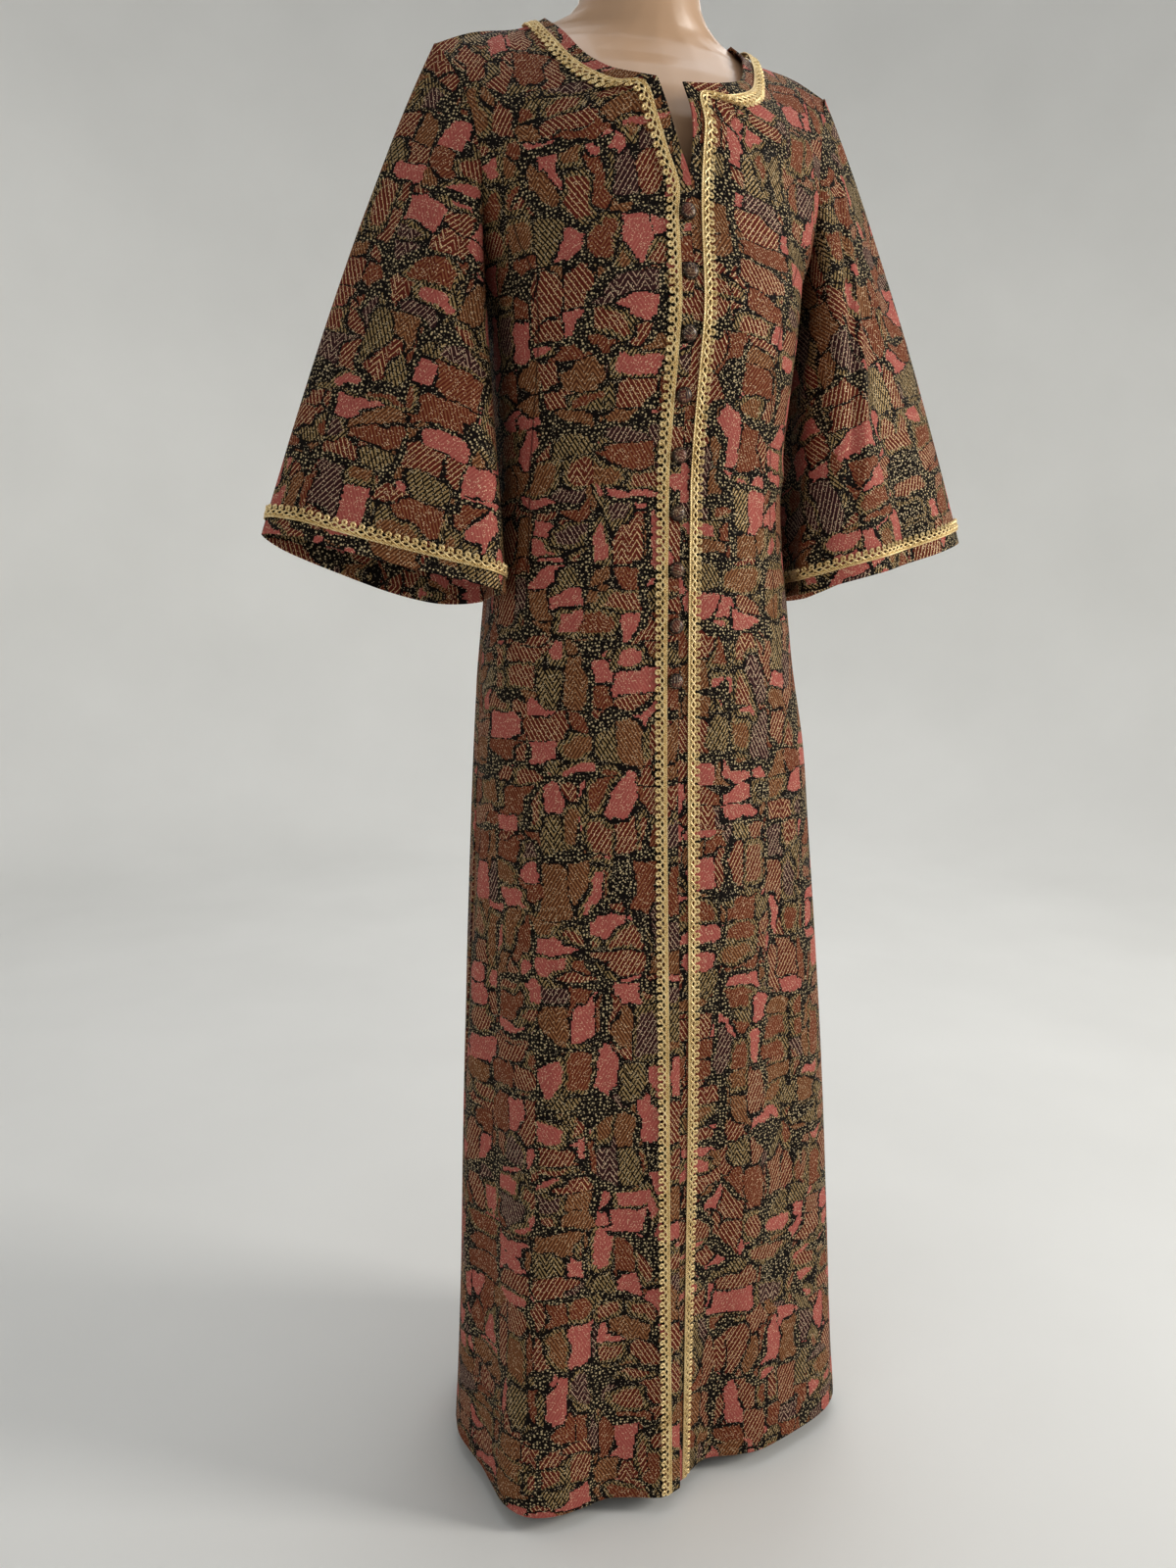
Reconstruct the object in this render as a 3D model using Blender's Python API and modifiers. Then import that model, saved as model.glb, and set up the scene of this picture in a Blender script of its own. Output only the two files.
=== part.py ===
"""A full-length kaftan on a limbless dress form with a pole and a base plate.

Metres, +Z up. The origin is the middle of the base plate's underside, on the floor. The fronts face -Y, and
+X is the wearer's left. Heights in the tables are above the hem, which hangs HEM_CLEAR above the floor.
"""

import math

import bmesh
import bpy
import numpy as np

# Driving sizes
HEM_CLEAR = 0.018
SHOULDER_HEIGHT = 1.407
WALL = 0.002
SEAM_GAP = 0.0003
REST_GAP = 0.0003
BRAID_WIDTH = 0.0125
BRAID_THICK = 0.0016
BRAID_EDGE_THICK = 0.0010
BRAID_CORD_SHARE = 0.35
CUFF_MARGIN = 0.0135
NAPE_LIFT = 0.0005
BUTTON_COUNT = 9
BUTTON_PITCH = 0.0508
BUTTON_TOP = 1.2134
BUTTON_RADIUS = 0.0075
BUTTON_HEIGHT = 0.0060
BUTTON_RIM = 0.0012
BUTTON_FOOT_RADIUS = 0.0064
BUTTON_ANGLES = (62, 36, 14)
BUTTON_GAP = 0.0004
POLE_RADIUS = 0.016
BASE_RADIUS = 0.112
BASE_THICK = 0.014
BASE_ROUND = 0.005
SIDE_Y = 0.012
NECK_POINT_X = 0.093
SHOULDER_TIP = (0.195, 0.013, 1.373)
SHOULDER_DIP = 0.0035
SHOULDER_DIP_ENDS = (1.3, 0.4)
SHOULDER_DIP_GROWTH = 6

# The left front under the right one's edge
UNDERLAP_GAP = 0.0006
UNDERLAP_FLAT = 0.014
UNDERLAP_END = 0.050
SLIT_BOTTOM = 1.250
SLIT_EASE = 0.035
HEM_STEP = 0.003
HEM_STEP_HEIGHT = 0.6

# How a sleeve's threads leave the armhole and reach the cuff
CROWN_EASE = 0.060
UNDERARM_EASE = 0.012
UNDERARM_OUT = 0.012
FRONT_FULLNESS = 0.080
SLEEVE_LEAD = 0.85
SLEEVE_ARRIVAL = (0.85, 0.6, 1.0)
RING_SPREAD = 1.2

# Columns, rings and sides of the meshes
FRONT_COLUMNS = 11
BACK_COLUMNS = 9
SLEEVE_RINGS = 11
FORM_SIDES = 32
BUTTON_STEPS = 14
POLE_STEPS = 20
BASE_STEPS = 48
DENSE = 181
CURVE_STEPS = 12
LEAST_SINE = 0.6
SHARP_ANGLE = math.radians(40)
SIDES = (("right", -1), ("left", 1))

# height above the hem, half-width at the side seam, y at the centre front, y at the centre back, squareness
BODY = (
    (0.000, 0.198, -0.160, 0.146, 2.00),
    (0.200, 0.187, -0.147, 0.138, 2.05),
    (0.450, 0.174, -0.133, 0.130, 2.15),
    (0.650, 0.164, -0.119, 0.126, 2.25),
    (0.797, 0.158, -0.111, 0.124, 2.35),
    (0.900, 0.149, -0.108, 0.118, 2.45),
    (0.997, 0.143, -0.107, 0.113, 2.60),
    (1.070, 0.146, -0.119, 0.112, 2.60),
    (1.137, 0.152, -0.130, 0.115, 2.50),
    (1.180, 0.158, -0.124, 0.117, 2.40),
)
ROW_HEIGHTS = (
    *(0.0, 0.05, 0.11, 0.18, 0.26, 0.35, 0.45, 0.55, 0.65),
    *(0.735, 0.815, 0.885, 0.945, 0.997, 1.045, 1.09, 1.137),
)

# Folds of the skirt: direction from the centre front towards the wearer's left in degrees, how far out at the
# hem, half-width in degrees, height where it begins, how steeply it grows
SKIRT_FOLDS = (
    (-47.0, 0.041, 16.0, 0.80, 1.5),
    (-24.0, -0.006, 9.0, 0.50, 1.3),
    (-9.0, 0.006, 8.0, 0.60, 1.2),
    (19.0, -0.027, 13.0, 0.62, 1.6),
    (71.0, 0.032, 20.0, 0.94, 0.72),
    (76.0, 0.013, 16.0, 0.80, 0.3),
    (106.0, -0.012, 11.0, 0.60, 1.3),
    (132.0, 0.017, 13.0, 0.75, 1.3),
    (158.0, -0.014, 11.0, 0.60, 1.4),
    (183.0, 0.013, 12.0, 0.70, 1.3),
    (208.0, -0.014, 11.0, 0.55, 1.4),
    (232.0, 0.013, 12.0, 0.70, 1.3),
    (257.0, -0.012, 12.0, 0.65, 1.3),
)

# Opening edge and neckline of each front, then the shoulder point: x towards the wearer's own side, y,
# height, distance from the edge to the braid
RIGHT_EDGE = (
    (-0.003, -0.1245, 1.180, 0.011),
    (-0.003, -0.1185, 1.211, 0.011),
    (-0.004, -0.1150, 1.240, 0.011),
    (0.006, -0.1130, 1.268, 0.011),
    (0.016, -0.1110, 1.297, 0.011),
    (0.026, -0.1085, 1.3225, 0.011),
    (0.042, -0.0980, 1.3275, 0.011),
    (0.058, -0.0840, 1.3345, 0.011),
    (0.074, -0.0620, 1.3510, 0.011),
    (0.087, -0.0320, 1.3800, 0.011),
    (0.093, 0.0100, 1.4070, 0.011),
)
LEFT_EDGE = (
    (-0.005, -0.1245, 1.180, 0.0185),
    (-0.003, -0.1185, 1.211, 0.0175),
    (0.003, -0.1150, 1.240, 0.0125),
    (0.007, -0.1130, 1.268, 0.0095),
    (0.006, -0.1110, 1.297, 0.0105),
    (-0.002, -0.1090, 1.3205, 0.0165),
    (0.026, -0.1060, 1.3240, 0.011),
    (0.054, -0.0880, 1.3350, 0.011),
    (0.074, -0.0620, 1.3510, 0.011),
    (0.087, -0.0320, 1.3800, 0.011),
    (0.093, 0.0100, 1.4070, 0.011),
)
BACK_EDGE = (
    (0.0, 0.1170, 1.180, 0.011),
    (0.0, 0.1150, 1.235, 0.011),
    (0.0, 0.1080, 1.290, 0.011),
    (0.0, 0.0990, 1.340, 0.011),
    (0.0, 0.0860, 1.384, 0.011),
    (0.022, 0.0845, 1.385, 0.011),
    (0.044, 0.0785, 1.3885, 0.011),
    (0.066, 0.0660, 1.3940, 0.011),
    (0.084, 0.0430, 1.4020, 0.011),
    (0.093, 0.0100, 1.4070, 0.011),
)
NAPE_ROW = 4
# How far the back's rows above the armpit swell out between the middle and the armhole
BACK_SWELL = (0.0, 0.001, 0.0025, 0.004, 0.006, 0.006, 0.005, 0.004, 0.002, 0.0)
SWELL_PEAK = 4 / 27

# Armhole from the armpit up to the shoulder: x, y, height, and the fullness of the row of cloth ending there
FRONT_ARMHOLE = (
    (0.158, 0.0120, 1.1800, 1.00),
    (0.159, -0.0040, 1.1830, 0.95),
    (0.1605, -0.0190, 1.1910, 0.86),
    (0.162, -0.0320, 1.2050, 0.76),
    (0.163, -0.0410, 1.2240, 0.64),
    (0.164, -0.0440, 1.2460, 0.52),
    (0.1665, -0.0410, 1.2720, 0.40),
    (0.170, -0.0350, 1.2980, 0.30),
    (0.176, -0.0250, 1.3240, 0.18),
    (0.185, -0.0090, 1.3500, 0.08),
    (0.195, 0.0130, 1.3730, 0.00),
)
BACK_ARMHOLE = (
    (0.158, 0.0120, 1.1800, 1.00),
    (0.160, 0.0300, 1.1860, 0.92),
    (0.163, 0.0450, 1.2020, 0.82),
    (0.167, 0.0560, 1.2240, 0.70),
    (0.171, 0.0610, 1.2520, 0.56),
    (0.175, 0.0600, 1.2800, 0.44),
    (0.179, 0.0545, 1.3050, 0.32),
    (0.183, 0.0450, 1.3290, 0.20),
    (0.189, 0.0310, 1.3530, 0.09),
    (0.195, 0.0130, 1.3730, 0.00),
)

# Cuff rings, from the underarm edge along the front to the outer edge and back along the back: x towards the
# wearer's own side, y, height
RIGHT_CUFF = (
    (0.156, 0.0120, 0.878),
    (0.154, -0.0300, 0.884),
    (0.153, -0.0700, 0.888),
    (0.200, -0.0800, 0.900),
    (0.262, -0.0720, 0.915),
    (0.318, -0.0500, 0.930),
    (0.354, -0.0240, 0.940),
    (0.362, 0.0000, 0.938),
    (0.344, 0.0180, 0.926),
    (0.300, 0.0270, 0.907),
    (0.246, 0.0260, 0.888),
    (0.195, 0.0220, 0.876),
)
LEFT_CUFF = (
    (0.157, 0.0140, 0.880),
    (0.157, -0.0280, 0.885),
    (0.157, -0.0660, 0.889),
    (0.202, -0.0770, 0.902),
    (0.264, -0.0700, 0.917),
    (0.320, -0.0500, 0.932),
    (0.358, -0.0240, 0.942),
    (0.368, 0.0000, 0.943),
    (0.352, 0.0180, 0.938),
    (0.308, 0.0260, 0.922),
    (0.250, 0.0260, 0.900),
    (0.197, 0.0220, 0.882),
)
CUFF_OUTER_POINT = 7

# Folds of a sleeve: place round the sleeve (0 underarm, 0.5 outer edge), how far out at the cuff, half-width,
# share of the length where it begins
RIGHT_SLEEVE_FOLDS = (
    (0.17, 0.004, 0.05, 0.15),
    (0.33, -0.005, 0.06, 0.30),
    (0.74, -0.008, 0.07, 0.25),
    (0.86, 0.005, 0.06, 0.30),
)
LEFT_SLEEVE_FOLDS = (
    (0.265, 0.013, 0.035, 0.05),
    (0.345, -0.009, 0.040, 0.10),
    (0.72, -0.007, 0.07, 0.30),
    (0.84, 0.006, 0.06, 0.30),
)

# Dress form: height, half-width, front depth and back depth from its middle, and the powers that shape it
# across and along (1 and 1 make an oval, more along thins its ends)
FORM = (
    (0.700, 0.118, 0.076, 0.084, 0.87, 0.87),
    (0.708, 0.130, 0.086, 0.093, 0.87, 0.87),
    (0.730, 0.137, 0.092, 0.101, 0.87, 0.87),
    (0.800, 0.142, 0.095, 0.105, 0.87, 0.87),
    (0.860, 0.136, 0.090, 0.101, 0.87, 0.87),
    (0.930, 0.122, 0.082, 0.091, 0.87, 0.87),
    (0.997, 0.114, 0.080, 0.086, 0.87, 0.87),
    (1.060, 0.121, 0.090, 0.087, 0.87, 0.87),
    (1.120, 0.131, 0.106, 0.089, 0.87, 0.87),
    (1.160, 0.136, 0.110, 0.090, 0.91, 0.91),
    (1.210, 0.141, 0.108, 0.088, 0.95, 0.95),
    (1.260, 0.146, 0.106, 0.086, 1.00, 1.00),
    (1.300, 0.150, 0.103, 0.081, 1.00, 1.00),
    (1.330, 0.155, 0.090, 0.072, 1.00, 1.05),
    (1.350, 0.159, 0.077, 0.066, 1.00, 1.30),
    (1.365, 0.164, 0.062, 0.060, 1.00, 1.60),
)
# Rings that end right under the shoulder seam: half-width, front depth, back depth, power along
FORM_SHOULDER = (
    (0.168, 0.050, 0.056, 3.3),
    (0.155, 0.048, 0.054, 3.6),
    (0.140, 0.048, 0.053, 3.2),
    (0.126, 0.048, 0.053, 2.9),
    (0.113, 0.048, 0.053, 2.8),
    (0.101, 0.048, 0.053, 2.6),
)
FORM_SHOULDER_GAP = 0.0008
FORM_NECK = (
    (1.4045, 0.085, 0.049, 0.053, 1.0, 1.8),
    (1.4120, 0.070, 0.050, 0.053, 1.0, 1.3),
    (1.4240, 0.060, 0.051, 0.053, 1.0, 1.1),
    (1.4420, 0.055, 0.052, 0.053, 1.0, 1.0),
    (1.4720, 0.053, 0.053, 0.053, 1.0, 1.0),
    (1.4750, 0.050, 0.050, 0.050, 1.0, 1.0),
)
FORM_MIDDLE_Y = 0.012

FABRIC = (0.235, 0.105, 0.080, 1.0)
GOLD = (0.62, 0.44, 0.17, 1.0)
BUTTON_CLOTH = (0.200, 0.075, 0.060, 1.0)
FORM_SKIN = (0.62, 0.44, 0.32, 1.0)
STAND_PAINT = (0.045, 0.042, 0.040, 1.0)


def material(name, colour, roughness, metallic=0.0):
    made = bpy.data.materials.new(name)
    made.use_nodes = True
    shader = made.node_tree.nodes["Principled BSDF"]
    shader.inputs["Base Color"].default_value = colour
    shader.inputs["Roughness"].default_value = roughness
    shader.inputs["Metallic"].default_value = metallic
    made.diffuse_color = colour
    return made


def lift(points):
    """Heights above the hem made heights above the floor."""
    return points + np.array([0, 0, HEM_CLEAR])


def unit(vectors):
    return vectors / np.linalg.norm(vectors, axis=-1, keepdims=True)


def smooth_at(table, where, column):
    """A column of a table, read at any height along a curve that doesn't overshoot."""
    rows = np.array(table)
    keys, values = rows[:, 0], rows[:, column]
    steps = np.diff(keys)
    slopes = np.diff(values) / steps
    tangents = np.zeros(len(keys))
    same_way = slopes[1:] * slopes[:-1] > 0
    mean = 2 * slopes[1:] * slopes[:-1] / np.where(same_way, slopes[1:] + slopes[:-1], 1)
    tangents[1:-1] = np.where(same_way, mean, 0)
    tangents[0], tangents[-1] = slopes[0], slopes[-1]
    i = int(np.clip(np.searchsorted(keys, where) - 1, 0, len(steps) - 1))
    t = (where - keys[i]) / steps[i]
    return hermite(values[i], values[i + 1], steps[i] * tangents[i], steps[i] * tangents[i + 1], t)


def fold_out(points, height):
    """How far the skirt's folds push each point of a level row out."""
    direction = np.degrees(np.arctan2(points[:, 0], -points[:, 1]))
    total = np.zeros(len(points))
    for centre, out, width, begins, growth in SKIRT_FOLDS:
        away = (direction - centre + 180) % 360 - 180
        share = np.clip(1 - height / begins, 0, 1) ** growth
        total += out * share * np.exp(-((away / width) ** 2))
    return total


def dense_row(inner, outer, side, full, square):
    """A row of cloth from its inner to its outer end, bowed like a quarter of an oval by its fullness."""
    angle = np.linspace(0, math.pi / 2, DENSE)
    straight = angle / (math.pi / 2)
    across = full * np.sin(angle) ** (2 / square) + (1 - full) * straight
    back = full * (1 - np.cos(angle) ** (2 / square)) + (1 - full) * straight
    inner, outer = np.array(inner), np.array(outer)
    shares = np.stack([across, back, across], axis=1)
    return (inner + (outer - inner) * shares) * (side, 1, 1)


def length_of(points):
    return np.linalg.norm(np.diff(points, axis=0), axis=1).sum()


def sample(points, distances):
    """Points at distances along a line of points."""
    lengths = np.concatenate([[0], np.cumsum(np.linalg.norm(np.diff(points, axis=0), axis=1))])
    return np.stack([np.interp(distances, lengths, points[:, k]) for k in range(3)], axis=1)


def hermite(a, b, leave, arrive, t):
    """A point of the smooth curve from a to b that leaves and arrives along two given directions."""
    return (
        (2 * t**3 - 3 * t**2 + 1) * a
        + (t**3 - 2 * t**2 + t) * leave
        + (3 * t**2 - 2 * t**3) * b
        + (t**3 - t**2) * arrive
    )


def columns_of(points, margin, columns, stretch=1.0):
    """Points of a row: the edge, both sides of the braid, then evenly to the seam."""
    near = [0.0, margin * stretch, (margin + BRAID_WIDTH) * stretch]
    rest = np.linspace(near[2], length_of(points), columns + 1)[1:]
    return sample(points, np.concatenate([near, rest]))


def panel_rows(edge, armhole, side, centre_column, columns, swells, nape=None):
    """The outer points of a half panel: rows from the hem to the shoulder seam, columns from edge to seam.

    At the nape's row the neckline goes on into its mirror image.
    """
    rows = []
    for height in ROW_HEIGHTS:
        half, centre, square = (smooth_at(BODY, height, k) for k in (1, centre_column, 4))
        inner = (edge[0][0], centre, height)
        points = dense_row(inner, (half, SIDE_Y, height), side, 1.0, square)
        spread = fold_out(points, height)
        points[:, :2] += unit(points[:, :2]) * spread[:, None]
        rows.append(columns_of(points, edge[0][3], columns))
    top = len(edge) - 1
    share = np.linspace(0, 1, DENSE)
    for i, (row, outer, swell) in enumerate(zip(edge, armhole, swells)):
        square = BODY[-1][4] + (2.0 - BODY[-1][4]) * i / top
        points = dense_row(row[:3], outer[:3], side, outer[3], square)
        points[:, 1] += swell * share * (1 - share) ** 2 / SWELL_PEAK
        wave = np.sin(2 * math.pi * share) * np.linspace(*SHOULDER_DIP_ENDS, DENSE)
        points[:, 2] -= SHOULDER_DIP * (i / top) ** SHOULDER_DIP_GROWTH * wave
        stretch = 1.0
        if 0 < i < top:
            before = np.array(edge[i + 1][:3]) * (-1, 1, 1) if i == nape else np.array(edge[i - 1][:3])
            along = np.array(edge[i + 1][:3]) - before
            across = np.array(outer[:3]) - np.array(row[:3])
            stretch = 1 / max(np.linalg.norm(np.cross(unit(along), unit(across))), LEAST_SINE)
        rows.append(columns_of(points, row[3], columns, stretch))
    return np.array(rows)


def panel_normals(grid, side, turn, seam_rows):
    """Directions out of the cloth. Both panels at a seam share them there, so their rims stay parallel."""
    out = unit(np.cross(np.gradient(grid, axis=1), np.gradient(grid, axis=0))) * side * turn
    out[: len(ROW_HEIGHTS) + 1, -1] = (side, 0, 0)
    fall = SHOULDER_HEIGHT - SHOULDER_TIP[2]
    out[-1] = unit(np.array([side * fall, 0.0, SHOULDER_TIP[0] - NECK_POINT_X]))
    out[:seam_rows, 0, 0] = 0
    return unit(out)


def half_body(side):
    """The points and normals of one side's front and half back, edges still meeting at the seams."""
    edge = RIGHT_EDGE if side < 0 else LEFT_EDGE
    front = panel_rows(edge, FRONT_ARMHOLE, side, 2, FRONT_COLUMNS, [0.0] * len(edge))
    back = panel_rows(BACK_EDGE, BACK_ARMHOLE, side, 3, BACK_COLUMNS, BACK_SWELL, NAPE_ROW)
    centre_rows = len(ROW_HEIGHTS) + NAPE_ROW + 1
    return (front, panel_normals(front, side, 1, 0)), (back, panel_normals(back, side, -1, centre_rows))


def opened_seams(grid, turn):
    """A panel's points with its side seam and shoulder seam moved back by half the seam gap."""
    moved = grid.copy()
    moved[: len(ROW_HEIGHTS) + 1, -1, 1] += turn * SEAM_GAP / 2
    moved[-1, :-1, 1] += turn * SEAM_GAP / 2
    return moved


def sunk(grid):
    """How deep the left front lies where it passes under the right one's edge."""
    x, height = grid[..., 0], grid[..., 2]
    depth = WALL + UNDERLAP_GAP + HEM_STEP * np.clip(1 - height / HEM_STEP_HEIGHT, 0, 1) ** 2
    near = np.clip((UNDERLAP_END - x) / (UNDERLAP_END - UNDERLAP_FLAT), 0, 1)
    below_slit = np.clip((SLIT_BOTTOM + SLIT_EASE - height) / SLIT_EASE, 0, 1)
    return (depth * near * near * (3 - 2 * near) * below_slit)[..., None]


def armhole_ring(front, back):
    """Armhole points and normals from the armpit up the front, over the shoulder and down the back."""
    low = len(ROW_HEIGHTS)
    return (np.concatenate([f[low:, -1], b[low + 1 : -1, -1][::-1]]) for f, b in zip(front, back))


def closed_curve(points):
    """A smooth closed line through the given points."""
    count = len(points)
    fine = []
    for i in range(count):
        before, a, b, after = (points[(i + k) % count] for k in (-1, 0, 1, 2))
        for t in np.linspace(0, 1, CURVE_STEPS, endpoint=False):
            fine.append(hermite(a, b, (b - before) / 2, (after - a) / 2, t))
    return np.array(fine + [points[0]])


def sleeve_shares(ring, cuff):
    """How far round the cuff each armhole point's thread ends: the shoulder point's at the outer edge."""
    running = np.concatenate([[0], np.cumsum(np.linalg.norm(np.roll(ring, -1, axis=0) - ring, axis=1))])
    top = len(FRONT_ARMHOLE) - 1
    outer = length_of(cuff[: CUFF_OUTER_POINT * CURVE_STEPS + 1]) / length_of(cuff)
    front = outer * running[: top + 1] / running[top]
    back = outer + (1 - outer) * (running[top + 1 : -1] - running[top]) / (running[-1] - running[top])
    return np.concatenate([front, back])


def tube_normals(grid, side):
    around = np.roll(grid, -1, axis=1) - np.roll(grid, 1, axis=1)
    return unit(np.cross(np.gradient(grid, axis=0), around)) * side


def sleeve(side, front, back):
    """Points and normals of a sleeve, ring by ring from the armhole to the cuff."""
    ring, ring_out = armhole_ring(front, back)
    away = unit(np.cross(np.roll(ring, -1, axis=0) - np.roll(ring, 1, axis=0), ring_out)) * side
    cuff = closed_curve(np.array(RIGHT_CUFF if side < 0 else LEFT_CUFF) * (side, 1, 1))
    shares = sleeve_shares(ring, cuff)
    cuff = sample(cuff, shares * length_of(cuff))
    start = ring + away * SEAM_GAP
    crown = (0.5 - 0.5 * np.cos(2 * math.pi * shares))[:, None]
    straight = cuff - start
    leave = away * (UNDERARM_EASE + (CROWN_EASE - UNDERARM_EASE) * crown) + straight * SLEEVE_LEAD
    leave[:, 0] += side * UNDERARM_OUT * (1 - crown[:, 0]) ** 2
    leave[:, 1] -= FRONT_FULLNESS * np.clip(np.sin(2 * math.pi * shares), 0, 1)
    arrive = straight * SLEEVE_ARRIVAL
    path = np.array([hermite(start, cuff, leave, arrive, t) for t in np.linspace(0, 1, DENSE)])
    grid = np.empty((SLEEVE_RINGS + 3, len(ring), 3))
    for i in range(len(ring)):
        whole = length_of(path[:, i])
        upper = np.linspace(0, 1, SLEEVE_RINGS + 1) ** RING_SPREAD * (whole - CUFF_MARGIN - BRAID_WIDTH)
        grid[:, i] = sample(path[:, i], np.concatenate([upper, [whole - CUFF_MARGIN, whole]]))
    out = tube_normals(grid, side)
    down = np.linspace(0, 1, len(grid))[:, None]
    for centre, outwards, width, begins in RIGHT_SLEEVE_FOLDS if side < 0 else LEFT_SLEEVE_FOLDS:
        near = (shares - centre + 0.5) % 1 - 0.5
        grow = np.clip((down - begins) / (1 - begins), 0, 1)
        grid += out * (grow * outwards * np.exp(-((near / width) ** 2)))[..., None]
    out = tube_normals(grid, side)
    out[0] = ring_out
    return grid, out


def add_object(name, bm, made, collection):
    bmesh.ops.recalc_face_normals(bm, faces=bm.faces)
    mesh = bpy.data.meshes.new(name)
    bm.to_mesh(mesh)
    bm.free()
    mesh.materials.append(made)
    mesh.shade_smooth()
    mesh.set_sharp_from_angle(angle=SHARP_ANGLE)
    thing = bpy.data.objects.new(name, mesh)
    collection.objects.link(thing)
    return thing


def add_quad(bm, a, b, c, d):
    """Two triangles that always share the edge from a to c, so faces lying on each other stay parallel."""
    bm.faces.new((a, b, c))
    bm.faces.new((a, c, d))


def add_wall(bm, outer, inner, loop=False, open_rows=0):
    """A wall between two grids. A loop closes its columns; open rows leave the first column's rim out."""
    rows, columns = outer.shape[:2]
    (skin, lining) = ([[bm.verts.new(p) for p in row] for row in lift(grid)] for grid in (outer, inner))
    for i in range(columns if loop else columns - 1):
        k = (i + 1) % columns
        for j in range(rows - 1):
            add_quad(bm, skin[j][i], skin[j][k], skin[j + 1][k], skin[j + 1][i])
            add_quad(bm, lining[j][i], lining[j][k], lining[j + 1][k], lining[j + 1][i])
        for j in (0, rows - 1):
            add_quad(bm, skin[j][i], skin[j][k], lining[j][k], lining[j][i])
    if loop:
        return
    for i, first in ((0, open_rows), (columns - 1, 0)):
        for j in range(first, rows - 1):
            add_quad(bm, skin[j][i], skin[j + 1][i], lining[j + 1][i], lining[j][i])


def add_strip(bm, near, far, near_out, far_out, crossed, loop=False):
    """A braid on a panel: a flat cord along its near edge, and thinner loops beyond it.

    A crossed stretch runs against the panel's rows, so its triangles meet along the other diagonal.
    """
    cord = near + (far - near) * BRAID_CORD_SHARE
    cord_out = unit(near_out + (far_out - near_out) * BRAID_CORD_SHARE)
    section = (
        near + near_out * REST_GAP,
        near + near_out * (REST_GAP + BRAID_THICK),
        cord + cord_out * (REST_GAP + BRAID_THICK),
        far + far_out * (REST_GAP + BRAID_EDGE_THICK),
        far + far_out * REST_GAP,
    )
    rings = [[bm.verts.new(p) for p in ring] for ring in lift(np.stack(section, axis=1))]
    count = len(rings)
    sides = len(section)
    for j in range(count if loop else count - 1):
        a, b = rings[j], rings[(j + 1) % count]
        for i in range(sides):
            low, high = (i, i + 1) if i < sides - 1 else (0, sides - 1)
            if crossed[j]:
                low, high = high, low
            add_quad(bm, a[low], a[high], b[high], b[low])
    if not loop:
        bm.faces.new(rings[0])
        bm.faces.new(rings[-1])


def opening_braid(halves):
    """The line of the long braid, up one front, round the neck and down the other, and where it's crossed."""
    first = len(ROW_HEIGHTS) + NAPE_ROW
    lines = []
    for name, _ in SIDES:
        front, front_out, back, back_out = halves[name]
        line = [
            np.concatenate([points[:, k], behind[first:-1, k][::-1]])
            for points, behind in ((front, back), (front_out, back_out))
            for k in (1, 2)
        ]
        lines.append(line)
    middle = back[first::-1, 0]
    margin = BACK_EDGE[NAPE_ROW][3]
    near, far = sample(middle, [margin, margin + BRAID_WIDTH]) + back_out[first, 0] * NAPE_LIFT
    nape = (near, far, back_out[first, 0], back_out[first, 0])
    joined = [np.concatenate([a, [n], b[::-1]]) for a, n, b in zip(lines[0], nape, lines[1])]
    before = len(halves["right"][0]) - 1
    behind = len(lines[0][0]) - before - 1
    return *joined, [False] * before + [True] * behind + [False] * (behind + 2) + [True] * before


def add_turned(name, profile, steps, made, collection):
    """A turned piece: its profile runs down its outer side, from the top of its axis to the bottom."""
    mesh = bpy.data.meshes.new(name)
    points = [(radius, 0.0, height) for radius, height in profile]
    mesh.from_pydata(points, [(i, i + 1) for i in range(len(points) - 1)], [])
    mesh.materials.append(made)
    thing = bpy.data.objects.new(name, mesh)
    collection.objects.link(thing)
    screw = thing.modifiers.new("turn", "SCREW")
    screw.steps = screw.render_steps = steps
    screw.use_merge_vertices = True
    screw.merge_threshold = 0.00001
    return thing


def arc(middle_x, middle_y, radius, first, last, steps):
    angles = np.radians(np.linspace(first, last, steps + 1))
    return [(middle_x + radius * math.cos(a), middle_y + radius * math.sin(a)) for a in angles]


def add_buttons(front, front_out, made, collection):
    """Covered domes on the right front's edge, each square to the cloth under it."""
    edge, edge_out = front[: len(ROW_HEIGHTS) + NAPE_ROW, 0], front_out[: len(ROW_HEIGHTS) + NAPE_ROW, 0]
    dome = [
        (BUTTON_RADIUS * math.cos(a), BUTTON_RIM + (BUTTON_HEIGHT - BUTTON_RIM) * math.sin(a))
        for a in np.radians(BUTTON_ANGLES)
    ]
    foot = [(BUTTON_RADIUS, BUTTON_RIM), (BUTTON_FOOT_RADIUS, 0.0), (0.0, 0.0)]
    profile = [(0.0, BUTTON_HEIGHT), *dome, *foot]
    for i in range(BUTTON_COUNT):
        height = BUTTON_TOP - i * BUTTON_PITCH
        point = np.array([np.interp(height, edge[:, 2], edge[:, k]) for k in range(3)])
        out = unit(np.array([0.0, *(np.interp(height, edge[:, 2], edge_out[:, k]) for k in (1, 2))]))
        button = add_turned(f"button_{i + 1}", profile, BUTTON_STEPS, made, collection)
        button.location = lift(point * (0, 1, 1) + out * BUTTON_GAP)
        button.rotation_euler = (math.atan2(-out[1], out[2]), 0, 0)


def form_rings(shoulder):
    """The dress form's rings from bottom to top, given the shoulder seam's underside."""
    rings = list(FORM)
    for half, front, back, power in FORM_SHOULDER:
        height = np.interp(half, shoulder[:, 0], shoulder[:, 2]) - FORM_SHOULDER_GAP
        rings.append((height, half, front, back, 1.0, power))
    return rings + list(FORM_NECK)


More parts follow.
